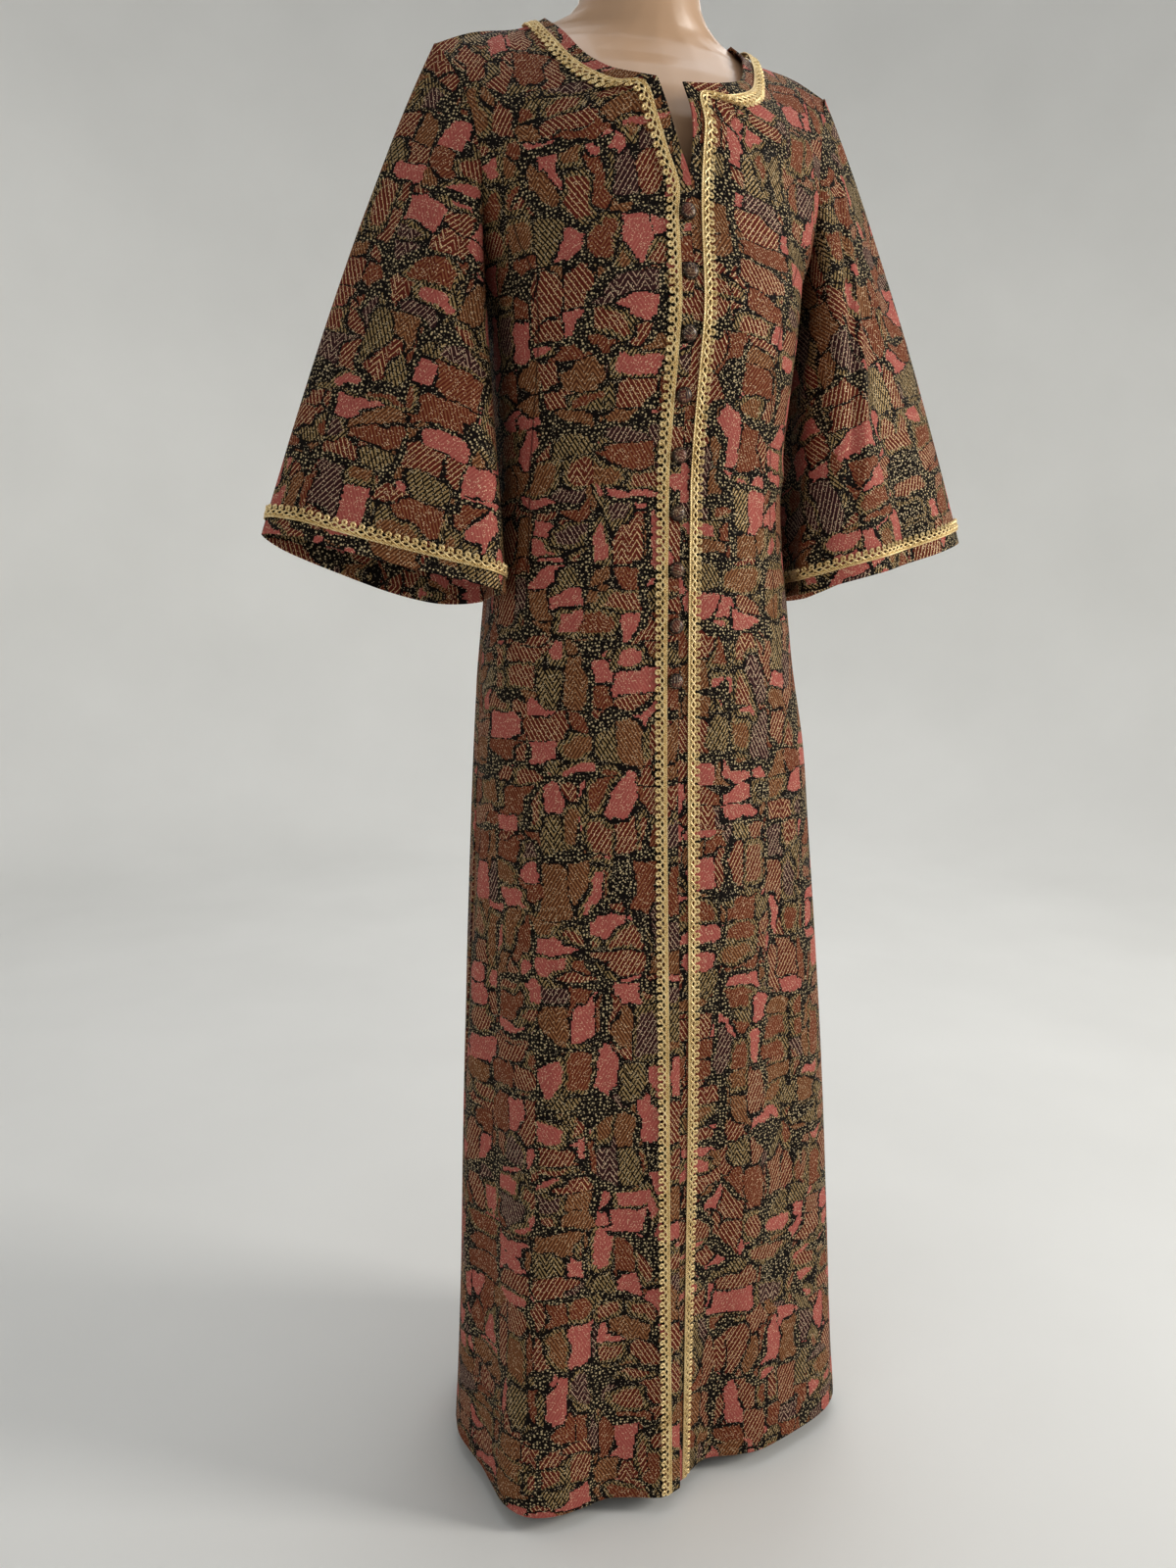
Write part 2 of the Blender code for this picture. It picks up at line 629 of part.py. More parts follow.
def add_form(shoulder, made, collection):
    bm = bmesh.new()
    angles = np.linspace(0, 2 * math.pi, FORM_SIDES, endpoint=False)
    rings = []
    for height, half, front, back, across_power, along_power in form_rings(shoulder):
        across = np.sign(np.cos(angles)) * np.abs(np.cos(angles)) ** across_power
        along = np.sign(np.sin(angles)) * np.abs(np.sin(angles)) ** along_power
        depth = np.where(along < 0, front, back)
        points = np.stack([half * across, FORM_MIDDLE_Y + depth * along, np.full(FORM_SIDES, height)], axis=1)
        rings.append([bm.verts.new(p) for p in lift(points)])
    for a, b in zip(rings, rings[1:]):
        for i in range(FORM_SIDES):
            k = (i + 1) % FORM_SIDES
            bm.faces.new((a[i], a[k], b[k], b[i]))
    bm.faces.new(rings[0])
    bm.faces.new(rings[-1])
    add_object("form", bm, made, collection)


def add_stand(made, collection):
    edge = arc(BASE_RADIUS - BASE_ROUND, BASE_THICK - BASE_ROUND, BASE_ROUND, 90, 0, 4)
    outline = [(0.0, BASE_THICK), *edge, (BASE_RADIUS, 0.0), (0.0, 0.0)]
    add_turned("base", outline, BASE_STEPS, made, collection)
    top = HEM_CLEAR + FORM[0][0] - REST_GAP
    low = BASE_THICK + REST_GAP
    outline = [(0.0, top), (POLE_RADIUS, top), (POLE_RADIUS, low), (0.0, low)]
    add_turned("pole", outline, POLE_STEPS, made, collection)


def main():
    for thing in list(bpy.data.objects):
        bpy.data.objects.remove(thing)
    collection = bpy.data.collections.new("kaftan_on_dress_form")
    bpy.context.scene.collection.children.link(collection)
    fabric = material("jacquard_knit", FABRIC, 0.85)
    gold = material("gold_braid", GOLD, 0.45, 0.3)
    covered = material("covered_button", BUTTON_CLOTH, 0.8)
    skin = material("form_plastic", FORM_SKIN, 0.35)
    paint = material("stand_paint", STAND_PAINT, 0.4)
    halves = {}
    back_mesh = bmesh.new()
    for name, side in SIDES:
        front, back = half_body(side)
        sleeve_points, sleeve_out = sleeve(side, front, back)
        front_points, front_out = opened_seams(front[0], -1), front[1]
        if side > 0:
            front_points -= front_out * sunk(front_points)
        back_points, back_out = opened_seams(back[0], 1), back[1]
        halves[name] = (front_points, front_out, back_points, back_out)

        bm = bmesh.new()
        add_wall(bm, front_points, front_points - front_out * WALL)
        add_object("front_" + name, bm, fabric, collection)
        add_wall(back_mesh, back_points, back_points - back_out * WALL, open_rows=len(ROW_HEIGHTS) + NAPE_ROW)
        bm = bmesh.new()
        add_wall(bm, sleeve_points, sleeve_points - sleeve_out * WALL, loop=True)
        add_object("sleeve_" + name, bm, fabric, collection)
        bm = bmesh.new()
        near, far, near_out, far_out = sleeve_points[-2], sleeve_points[-3], sleeve_out[-2], sleeve_out[-3]
        add_strip(bm, near, far, near_out, far_out, [True] * len(near), loop=True)
        add_object("cuff_braid_" + name, bm, gold, collection)
    bmesh.ops.remove_doubles(back_mesh, verts=back_mesh.verts, dist=0.00001)
    add_object("back", back_mesh, fabric, collection)

    bm = bmesh.new()
    add_strip(bm, *opening_braid(halves))
    add_object("opening_braid", bm, gold, collection)
    add_buttons(*halves["right"][:2], covered, collection)
    left_front, left_out = halves["left"][:2]
    add_form(left_front[-1] - left_out[-1] * WALL, skin, collection)
    add_stand(paint, collection)


main()
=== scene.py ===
"""A full-length patterned kaftan on a dress form: thin cloth, crocheted gold braid and covered buttons.

Metres, +Z up. The fronts face -Y, and +X is the wearer's left. Heights in the tables are above the hem.
"""

import math

import bmesh
import bpy
import numpy as np
from mathutils import Matrix, Vector


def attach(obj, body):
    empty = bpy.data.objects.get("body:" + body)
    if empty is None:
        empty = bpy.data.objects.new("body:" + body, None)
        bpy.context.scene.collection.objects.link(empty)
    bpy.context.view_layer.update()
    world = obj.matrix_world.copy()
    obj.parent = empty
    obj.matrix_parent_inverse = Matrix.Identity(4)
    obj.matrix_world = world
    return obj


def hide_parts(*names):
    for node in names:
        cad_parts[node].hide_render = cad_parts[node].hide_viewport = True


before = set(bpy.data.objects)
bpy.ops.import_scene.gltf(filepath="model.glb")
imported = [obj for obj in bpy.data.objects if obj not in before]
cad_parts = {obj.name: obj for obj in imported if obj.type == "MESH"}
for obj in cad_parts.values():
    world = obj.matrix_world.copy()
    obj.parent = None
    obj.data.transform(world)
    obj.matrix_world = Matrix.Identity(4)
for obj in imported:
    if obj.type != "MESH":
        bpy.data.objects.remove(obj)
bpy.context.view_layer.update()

# Driving sizes of the solids that the cloth stands for
HEM_CLEAR = 0.018
SHOULDER_HEIGHT = 1.407
WALL = 0.002
SEAM_GAP = 0.0003
BRAID_WIDTH = 0.0125
CUFF_MARGIN = 0.0135
BUTTON_COUNT = 9
BUTTON_PITCH = 0.0508
BUTTON_TOP = 1.2134
BUTTON_RADIUS = 0.0075
BUTTON_HEIGHT = 0.0060
BUTTON_RIM = 0.0012
BUTTON_FOOT_RADIUS = 0.0064
BUTTON_GAP = 0.0004
SIDE_Y = 0.012
NECK_POINT_X = 0.093
SHOULDER_TIP = (0.195, 0.013, 1.373)
SHOULDER_DIP = 0.0035
SHOULDER_DIP_ENDS = (1.3, 0.4)
SHOULDER_DIP_GROWTH = 6
UNDERLAP_GAP = 0.0006
UNDERLAP_FLAT = 0.014
UNDERLAP_END = 0.050
SLIT_BOTTOM = 1.250
SLIT_EASE = 0.035
HEM_STEP = 0.003
HEM_STEP_HEIGHT = 0.6
CROWN_EASE = 0.060
UNDERARM_EASE = 0.012
UNDERARM_OUT = 0.012
FRONT_FULLNESS = 0.080
SLEEVE_LEAD = 0.85
SLEEVE_ARRIVAL = (0.85, 0.6, 1.0)
RING_SPREAD = 1.2
FRONT_COLUMNS = 11
BACK_COLUMNS = 9
SLEEVE_RINGS = 11
DENSE = 181
CURVE_STEPS = 12
LEAST_SINE = 0.6
SIDES = (("right", -1), ("left", 1))

# The finer mesh of the cloth
ROW_STEP = 0.0075
COLUMN_STEP = 0.0065
EDGE_BULGE = 0.0006
HEM_TURN = 0.028
HEM_TURN_OUT = 0.0005
HEM_FADE = 1.5
RELAX_ROUNDS = ((6, 1200), (1, 30))
RELAX_SHARE = 1.5
LEAST_LENGTH = 1e-6
SHARP_ANGLE = math.radians(50)
MEETING = 0.00001

# height above the hem, half-width at the side seam, y at the centre front, y at the centre back, squareness
BODY = (
    (0, 0.198, -0.16, 0.146, 2), (0.2, 0.187, -0.147, 0.138, 2.05), (0.45, 0.174, -0.133, 0.13, 2.15),
    (0.65, 0.164, -0.119, 0.126, 2.25), (0.797, 0.158, -0.111, 0.124, 2.35),
    (0.9, 0.149, -0.108, 0.118, 2.45), (0.997, 0.143, -0.107, 0.113, 2.6),
    (1.07, 0.146, -0.119, 0.112, 2.6), (1.137, 0.152, -0.13, 0.115, 2.5),
    (1.18, 0.158, -0.124, 0.117, 2.4),
)
ROW_HEIGHTS = (
    *(0.0, 0.05, 0.11, 0.18, 0.26, 0.35, 0.45, 0.55, 0.65),
    *(0.735, 0.815, 0.885, 0.945, 0.997, 1.045, 1.09, 1.137),
)

# Folds of the skirt: direction from the centre front towards the wearer's left in degrees, how far out at the
# hem, half-width in degrees, height where it begins, how steeply it grows
SKIRT_FOLDS = (
    (-47, 0.041, 16, 0.8, 1.5), (-24, -0.006, 9, 0.5, 1.3), (-9, 0.006, 8, 0.6, 1.2),
    (19, -0.027, 13, 0.62, 1.6), (71, 0.032, 20, 0.94, 0.72), (76, 0.013, 16, 0.8, 0.3),
    (106, -0.012, 11, 0.6, 1.3), (132, 0.017, 13, 0.75, 1.3), (158, -0.014, 11, 0.6, 1.4),
    (183, 0.013, 12, 0.7, 1.3), (208, -0.014, 11, 0.55, 1.4), (232, 0.013, 12, 0.7, 1.3),
    (257, -0.012, 12, 0.65, 1.3),
)


def metres(*rows):
    """A table of lengths given in millimetres."""
    return np.array(rows) / 1000


# Opening edge and neckline of each front, then the shoulder point: x towards the wearer's own side, y,
# height, distance from the edge to the braid, all in millimetres
RIGHT_EDGE = metres(
    (-3, -124.5, 1180, 11), (-3, -118.5, 1211, 11), (-4, -115, 1240, 11), (6, -113, 1268, 11),
    (16, -111, 1297, 11), (26, -108.5, 1322.5, 11), (42, -98, 1327.5, 11), (58, -84, 1334.5, 11),
    (74, -62, 1351, 11), (87, -32, 1380, 11), (93, 10, 1407, 11),
)
LEFT_EDGE = metres(
    (-5, -124.5, 1180, 18.5), (-3, -118.5, 1211, 17.5), (3, -115, 1240, 12.5), (7, -113, 1268, 9.5),
    (6, -111, 1297, 10.5), (-2, -109, 1320.5, 16.5), (26, -106, 1324, 11), (54, -88, 1335, 11),
    (74, -62, 1351, 11), (87, -32, 1380, 11), (93, 10, 1407, 11),
)
BACK_EDGE = metres(
    (0, 117, 1180, 11), (0, 115, 1235, 11), (0, 108, 1290, 11), (0, 99, 1340, 11), (0, 86, 1384, 11),
    (22, 84.5, 1385, 11), (44, 78.5, 1388.5, 11), (66, 66, 1394, 11), (84, 43, 1402, 11),
    (93, 10, 1407, 11),
)
NECK_CORNER_ROW = 5
NAPE_ROW = 4
NAPE_LIFT = 0.0005
BACK_SWELL = (0.0, 0.001, 0.0025, 0.004, 0.006, 0.006, 0.005, 0.004, 0.002, 0.0)
SWELL_PEAK = 4 / 27

# Armhole from the armpit up to the shoulder: x, y and height in millimetres, and in thousandths the fullness
# of the row of cloth that ends there
FRONT_ARMHOLE = metres(
    (158, 12, 1180, 1000), (159, -4, 1183, 950), (160.5, -19, 1191, 860), (162, -32, 1205, 760),
    (163, -41, 1224, 640), (164, -44, 1246, 520), (166.5, -41, 1272, 400), (170, -35, 1298, 300),
    (176, -25, 1324, 180), (185, -9, 1350, 80), (195, 13, 1373, 0),
)
BACK_ARMHOLE = metres(
    (158, 12, 1180, 1000), (160, 30, 1186, 920), (163, 45, 1202, 820), (167, 56, 1224, 700),
    (171, 61, 1252, 560), (175, 60, 1280, 440), (179, 54.5, 1305, 320), (183, 45, 1329, 200),
    (189, 31, 1353, 90), (195, 13, 1373, 0),
)

# Cuff rings, from the underarm edge along the front to the outer edge and back along the back, in millimetres
RIGHT_CUFF = metres(
    (156, 12, 878), (154, -30, 884), (153, -70, 888), (200, -80, 900), (262, -72, 915), (318, -50, 930),
    (354, -24, 940), (362, 0, 938), (344, 18, 926), (300, 27, 907), (246, 26, 888), (195, 22, 876),
)
LEFT_CUFF = metres(
    (157, 14, 880), (157, -28, 885), (157, -66, 889), (202, -77, 902), (264, -70, 917), (320, -50, 932),
    (358, -24, 942), (368, 0, 943), (352, 18, 938), (308, 26, 922), (250, 26, 900), (197, 22, 882),
)
CUFF_OUTER_POINT = 7

# Folds of a sleeve: place round the sleeve (0 underarm, 0.5 outer edge), how far out at the cuff, half-width,
# share of the length where it begins
RIGHT_SLEEVE_FOLDS = (
    (0.17, 0.004, 0.05, 0.15),
    (0.33, -0.005, 0.06, 0.30),
    (0.74, -0.008, 0.07, 0.25),
    (0.86, 0.005, 0.06, 0.30),
)
LEFT_SLEEVE_FOLDS = (
    (0.265, 0.013, 0.035, 0.05),
    (0.345, -0.009, 0.040, 0.10),
    (0.72, -0.007, 0.07, 0.30),
    (0.84, 0.006, 0.06, 0.30),
)

# Creases given in millimetres on a piece's own cloth: half-width, depth (outwards > 0), then the u
# and v of the points of its line
CREASES = {
    "front_right": (
        (11, -2.2, -155, 1300, -150, 1240, -160, 1180),
        (13, 1.8, -110, 1235, -150, 1170),
        (9, 2, -215, 1020, -160, 1000, -110, 1005),
        (10, 2.4, -212, 975, -165, 962),
        (12, 1.6, -205, 930, -140, 905, -85, 900),
        (17, -2.2, -75, 760, -85, 420, -90, 90),
        (21, 3.4, -120, 820, -128, 450, -150, 45),
        (18, -3.6, -185, 700, -205, 420, -215, 160),
        (20, 3, -235, 560, -262, 300, -275, 60),
    ),
    "front_left": (
        (12, -2.4, 150, 1305, 146, 1245, 158, 1180),
        (14, 1.6, 95, 1225, 140, 1170),
        (10, 2.2, 205, 1030, 150, 1004, 100, 1010),
        (9, 1.8, 208, 960, 150, 945),
        (12, -1.4, 50, 840, 90, 872, 150, 880),
        (20, -4, 119, 770, 121, 600, 136, 400, 137, 150),
        (19, 2.6, 68, 620, 80, 330, 85, 70),
        (22, 4.2, 190, 840, 215, 500, 230, 100),
        (16, -3, 245, 600, 268, 280),
    ),
    "back": (
        (19, 3.6, -45, 820, -60, 460, -64, 80),
        (17, -2.8, 12, 700, 20, 380, 18, 60),
        (21, 3.8, 75, 780, 98, 440, 104, 120),
        (18, -4, -118, 730, -142, 400, -150, 50),
        (17, -3.4, 160, 660, 190, 380, 200, 70),
        (20, 3.2, -190, 800, -225, 460, -240, 130),
        (15, 2.6, 215, 870, 240, 520),
        (10, 2, -120, 1030, -65, 1010, -20, 1016),
        (9, 2.2, 30, 985, 80, 992, 130, 1015),
        (11, 1.8, -170, 965, -100, 945),
        (12, 1.8, 55, 1330, 95, 1260, 125, 1190),
        (11, 2, -60, 1320, -105, 1245, -140, 1180),
        (14, 1.4, -35, 1120, 20, 1105, 70, 1120),
    ),
    "sleeve_right": (
        (12, -4, 50, -35, 98, -88, 136, -135, 165, -220),
        (17, 3, 20, -30, 60, -90, 90, -170, 105, -300),
        (24, -2.6, -13, -90, 6, -190, 4, -340),
        (18, -4, -60, -60, -90, -160, -105, -310),
        (15, 4, -100, -40, -140, -110, -165, -230),
        (12, 2.4, 180, -90, 205, -180),
    ),
    "sleeve_left": (
        (9, 4.2, 10, -22, -51, -65, -81, -126, -112, -219, -145, -335),
        (9, -4, -12, -20, -68, -70, -100, -135, -132, -230, -160, -320),
        (13, 3, -150, -60, -190, -130, -215, -210),
        (22, -2.8, 5, -110, -20, -230, -40, -360),
        (18, 4, 70, -60, 95, -160, 110, -300),
        (15, -3.6, 110, -50, 145, -120, 165, -240),
    ),
}

# Sewn bust darts, from the armhole down the front: u and v of the points of their lines, in millimetres
DARTS = {
    "front_right": (-166, 1232, -139, 1160, -136, 1108, -137, 1061, -139, 1007, -143, 860),
    "front_left": (160, 1232, 126, 1180, 104, 1140, 96, 1092, 105, 1019, 112, 954, 124, 830),
}
DART_REACH = 0.03
CREASE_ENDS = (0.02, 0.98)
CREASE_FADE = 0.7


# Surfaces of the cloth


def lift(points):
    """Heights above the hem made heights above the floor."""
    return points + np.array([0, 0, HEM_CLEAR])


def unit(vectors):
    return vectors / np.linalg.norm(vectors, axis=-1, keepdims=True)


def hermite(a, b, leave, arrive, t):
    """A point of the smooth curve from a to b that leaves and arrives along two given directions."""
    return (
        (2 * t**3 - 3 * t**2 + 1) * a
        + (t**3 - 2 * t**2 + t) * leave
        + (3 * t**2 - 2 * t**3) * b
        + (t**3 - t**2) * arrive
    )


def smooth_at(table, where, column):
    """A column of a table, read at any height along a curve that doesn't overshoot."""
    rows = np.array(table)
    keys, values = rows[:, 0], rows[:, column]
    steps = np.diff(keys)
    slopes = np.diff(values) / steps
    tangents = np.zeros(len(keys))
    same_way = slopes[1:] * slopes[:-1] > 0
    mean = 2 * slopes[1:] * slopes[:-1] / np.where(same_way, slopes[1:] + slopes[:-1], 1)
    tangents[1:-1] = np.where(same_way, mean, 0)
    tangents[0], tangents[-1] = slopes[0], slopes[-1]
    i = int(np.clip(np.searchsorted(keys, where) - 1, 0, len(steps) - 1))
    t = (where - keys[i]) / steps[i]
    return hermite(values[i], values[i + 1], steps[i] * tangents[i], steps[i] * tangents[i + 1], t)


def fold_out(points, height):
    """How far the skirt's folds push each point of a level row out."""
    direction = np.degrees(np.arctan2(points[:, 0], -points[:, 1]))
    total = np.zeros(len(points))
    for centre, out, width, begins, growth in SKIRT_FOLDS:
        away = (direction - centre + 180) % 360 - 180
        share = np.clip(1 - height / begins, 0, 1) ** growth
        total += out * share * np.exp(-((away / width) ** 2))
    return total


def dense_row(inner, outer, side, full, square):
    """A row of cloth from its inner to its outer end, bowed like a quarter of an oval by its fullness."""
    angle = np.linspace(0, math.pi / 2, DENSE)
    straight = angle / (math.pi / 2)
    across = full * np.sin(angle) ** (2 / square) + (1 - full) * straight
    back = full * (1 - np.cos(angle) ** (2 / square)) + (1 - full) * straight
    inner, outer = np.array(inner), np.array(outer)
    shares = np.stack([across, back, across], axis=1)
    return (inner + (outer - inner) * shares) * (side, 1, 1)


def running_length(points, axis=0):
    """How far along its line each point lies, in one line of points or in a grid of them."""
    steps = np.linalg.norm(np.diff(points, axis=axis), axis=-1)
    return np.insert(np.cumsum(steps, axis=axis), 0, 0.0, axis=axis)


def length_of(points):
    return running_length(points)[-1]


def sample(points, distances):
    """Points at distances along a line of points."""
    lengths = running_length(points)
    return np.stack([np.interp(distances, lengths, points[:, k]) for k in range(points.shape[1])], axis=1)


def columns_of(points, margin, columns, stretch=1.0):
    """Points of a row: the edge, both sides of the braid, then evenly to the seam."""
    near = [0.0, margin * stretch, (margin + BRAID_WIDTH) * stretch]
    rest = np.linspace(near[2], length_of(points), columns + 1)[1:]
    return sample(points, np.concatenate([near, rest]))


def panel_rows(edge, armhole, side, centre_column, columns, swells, nape=None):
    """The outer points of a half panel: rows from the hem to the shoulder seam, columns from edge to seam."""
    rows = []
    for height in ROW_HEIGHTS:
        half, centre, square = (smooth_at(BODY, height, k) for k in (1, centre_column, 4))
        inner = (edge[0][0], centre, height)
        points = dense_row(inner, (half, SIDE_Y, height), side, 1.0, square)
        spread = fold_out(points, height)
        points[:, :2] += unit(points[:, :2]) * spread[:, None]
        rows.append(columns_of(points, edge[0][3], columns))
    top = len(edge) - 1
    share = np.linspace(0, 1, DENSE)
    for i, (row, outer, swell) in enumerate(zip(edge, armhole, swells)):
        square = BODY[-1][4] + (2.0 - BODY[-1][4]) * i / top
        points = dense_row(row[:3], outer[:3], side, outer[3], square)
        points[:, 1] += swell * share * (1 - share) ** 2 / SWELL_PEAK
        wave = np.sin(2 * math.pi * share) * np.linspace(*SHOULDER_DIP_ENDS, DENSE)
        points[:, 2] -= SHOULDER_DIP * (i / top) ** SHOULDER_DIP_GROWTH * wave
        stretch = 1.0
        if 0 < i < top:
            before = np.array(edge[i + 1][:3]) * (-1, 1, 1) if i == nape else np.array(edge[i - 1][:3])
            along = np.array(edge[i + 1][:3]) - before
            across = np.array(outer[:3]) - np.array(row[:3])
            stretch = 1 / max(np.linalg.norm(np.cross(unit(along), unit(across))), LEAST_SINE)
        rows.append(columns_of(points, row[3], columns, stretch))
    return np.array(rows)


def panel_normals(grid, side, turn, seam_rows):
    """Directions out of the cloth. Both panels at a seam share them there."""
    out = unit(np.cross(np.gradient(grid, axis=1), np.gradient(grid, axis=0))) * side * turn
    out[: len(ROW_HEIGHTS) + 1, -1] = (side, 0, 0)
    fall = SHOULDER_HEIGHT - SHOULDER_TIP[2]
    out[-1] = unit(np.array([side * fall, 0.0, SHOULDER_TIP[0] - NECK_POINT_X]))
    out[:seam_rows, 0, 0] = 0
    return unit(out)


def half_body(side):
    """The points and normals of one side's front and half back, edges still meeting at the seams."""
    edge = RIGHT_EDGE if side < 0 else LEFT_EDGE
    front = panel_rows(edge, FRONT_ARMHOLE, side, 2, FRONT_COLUMNS, [0.0] * len(edge))
    back = panel_rows(BACK_EDGE, BACK_ARMHOLE, side, 3, BACK_COLUMNS, BACK_SWELL, NAPE_ROW)
    centre_rows = len(ROW_HEIGHTS) + NAPE_ROW + 1
    return (front, panel_normals(front, side, 1, 0)), (back, panel_normals(back, side, -1, centre_rows))


def opened_seams(grid, turn):
    """A panel's points with its side seam and shoulder seam moved back by half the seam gap."""
    moved = grid.copy()
    moved[: len(ROW_HEIGHTS) + 1, -1, 1] += turn * SEAM_GAP / 2
    moved[-1, :-1, 1] += turn * SEAM_GAP / 2
    return moved


def sunk(grid):
    """How deep the left front lies where it passes under the right one's edge."""
    x, height = grid[..., 0], grid[..., 2]
    depth = WALL + UNDERLAP_GAP + HEM_STEP * np.clip(1 - height / HEM_STEP_HEIGHT, 0, 1) ** 2
    near = np.clip((UNDERLAP_END - x) / (UNDERLAP_END - UNDERLAP_FLAT), 0, 1)
    below_slit = np.clip((SLIT_BOTTOM + SLIT_EASE - height) / SLIT_EASE, 0, 1)
    return (depth * near * near * (3 - 2 * near) * below_slit)[..., None]


def armhole_ring(front, back):
    """Armhole points and normals from the armpit up the front, over the shoulder and down the back."""
    low = len(ROW_HEIGHTS)
    return (np.concatenate([f[low:, -1], b[low + 1 : -1, -1][::-1]]) for f, b in zip(front, back))


def closed_curve(points):
    """A smooth closed line through the given points."""
    count = len(points)
    fine = []
    for i in range(count):
        before, a, b, after = (points[(i + k) % count] for k in (-1, 0, 1, 2))
        for t in np.linspace(0, 1, CURVE_STEPS, endpoint=False):
            fine.append(hermite(a, b, (b - before) / 2, (after - a) / 2, t))
    return np.array(fine + [points[0]])


def sleeve_shares(ring, cuff):
    """How far round the cuff each armhole point's thread ends: the shoulder point's at the outer edge."""
    running = running_length(np.concatenate([ring, ring[:1]]))
    top = len(FRONT_ARMHOLE) - 1
    outer = length_of(cuff[: CUFF_OUTER_POINT * CURVE_STEPS + 1]) / length_of(cuff)
    front = outer * running[: top + 1] / running[top]
    back = outer + (1 - outer) * (running[top + 1 : -1] - running[top]) / (running[-1] - running[top])
    return np.concatenate([front, back])


def tube_normals(grid, side):
    around = np.roll(grid, -1, axis=1) - np.roll(grid, 1, axis=1)
    return unit(np.cross(np.gradient(grid, axis=0), around)) * side


def sleeve(side, front, back):
    """Points and normals of a sleeve, ring by ring from the armhole to the cuff."""
    ring, ring_out = armhole_ring(front, back)
    away = unit(np.cross(np.roll(ring, -1, axis=0) - np.roll(ring, 1, axis=0), ring_out)) * side
    cuff = closed_curve(np.array(RIGHT_CUFF if side < 0 else LEFT_CUFF) * (side, 1, 1))
    shares = sleeve_shares(ring, cuff)
    cuff = sample(cuff, shares * length_of(cuff))
    start = ring + away * SEAM_GAP
    crown = (0.5 - 0.5 * np.cos(2 * math.pi * shares))[:, None]
    straight = cuff - start
    leave = away * (UNDERARM_EASE + (CROWN_EASE - UNDERARM_EASE) * crown) + straight * SLEEVE_LEAD
    leave[:, 0] += side * UNDERARM_OUT * (1 - crown[:, 0]) ** 2
    leave[:, 1] -= FRONT_FULLNESS * np.clip(np.sin(2 * math.pi * shares), 0, 1)
    arrive = straight * SLEEVE_ARRIVAL
    path = np.array([hermite(start, cuff, leave, arrive, t) for t in np.linspace(0, 1, DENSE)])
    grid = np.empty((SLEEVE_RINGS + 3, len(ring), 3))
    for i in range(len(ring)):
        whole = length_of(path[:, i])
        upper = np.linspace(0, 1, SLEEVE_RINGS + 1) ** RING_SPREAD * (whole - CUFF_MARGIN - BRAID_WIDTH)
        grid[:, i] = sample(path[:, i], np.concatenate([upper, [whole - CUFF_MARGIN, whole]]))
    out = tube_normals(grid, side)
    down = np.linspace(0, 1, len(grid))[:, None]
    for centre, outwards, width, begins in RIGHT_SLEEVE_FOLDS if side < 0 else LEFT_SLEEVE_FOLDS:
        near = (shares - centre + 0.5) % 1 - 0.5
        grow = np.clip((down - begins) / (1 - begins), 0, 1)
        grid += out * (grow * outwards * np.exp(-((near / width) ** 2)))[..., None]
    out = tube_normals(grid, side)
    out[0] = ring_out
    return grid, out


def divided(keys, step):
    """The keys with evenly spaced places between them, no further apart than the step."""
    parts = [np.linspace(a, b, math.ceil((b - a) / step), endpoint=False) for a, b in zip(keys, keys[1:])]
    return np.concatenate([*parts, keys[-1:]])


def read(keys, values, places, breaks=(), first_slope=None):
    """Values between the keys, on curves that are smooth but for the rows and columns where they break."""
    steps = np.diff(keys)
    shape = (-1,) + (1,) * (values.ndim - 1)
    slopes = np.diff(values, axis=0) / steps.reshape(shape)
    leave = np.gradient(values, keys, axis=0)
    if first_slope is not None:
        leave[0] = first_slope(leave[0])
    arrive = leave.copy()
    for row, columns in breaks:
        leave[row, columns] = slopes[row, columns]
        arrive[row, columns] = slopes[row - 1, columns]
    i = np.clip(np.searchsorted(keys, places, side="right") - 1, 0, len(steps) - 1)
    t = ((places - keys[i]) / steps[i]).reshape(shape)
    span = steps[i].reshape(shape)
    return hermite(values[i], values[i + 1], leave[i] * span, arrive[i + 1] * span, t)


def mean_keys(grid, axis):
    """Places of a grid's rows or columns, by the mean distance between them."""
    steps = np.linalg.norm(np.diff(grid, axis=axis), axis=2).mean(axis=1 - axis)
    return np.concatenate([[0], np.cumsum(steps)])


def fine_panel(points, normals, breaks, mirror_rows=0):
    """A half panel's points and normals on the finer mesh."""
    low = len(ROW_HEIGHTS)
    row_keys = np.array(ROW_HEIGHTS + tuple(mean_keys(points[low:], 0) + BODY[-1][0]))
    column_keys = mean_keys(points, 1)
    both = np.concatenate([points, normals], axis=2)
    rows = divided(row_keys, ROW_STEP)
    both = read(row_keys, both, rows, breaks)
    mirrored = rows <= row_keys[mirror_rows] if mirror_rows else np.zeros(len(rows), bool)

    def level(slope):
        flat = slope.copy()
        flat[mirrored, 1:] = 0
        return flat

    both = read(column_keys, both.swapaxes(0, 1), divided(column_keys, COLUMN_STEP), (), level)
    both = both.swapaxes(0, 1)
    return both[..., :3], unit(both[..., 3:])


def fine_sleeve(points, normals):
    """A sleeve's points and normals on the finer mesh, its last column at the first one's place."""
    both = np.concatenate([points, normals], axis=2)
    row_keys = mean_keys(points, 0)
    both = read(row_keys, both, divided(row_keys, ROW_STEP))
    wrap = 3
    wide = np.concatenate([both[:, -wrap:], both, both[:, : wrap + 1]], axis=1)
    keys = mean_keys(wide[..., :3], 1)
    inner = keys[wrap:-wrap]
    fine = read(keys, wide.swapaxes(0, 1), divided(inner, COLUMN_STEP)).swapaxes(0, 1)
    return fine[..., :3], unit(fine[..., 3:])


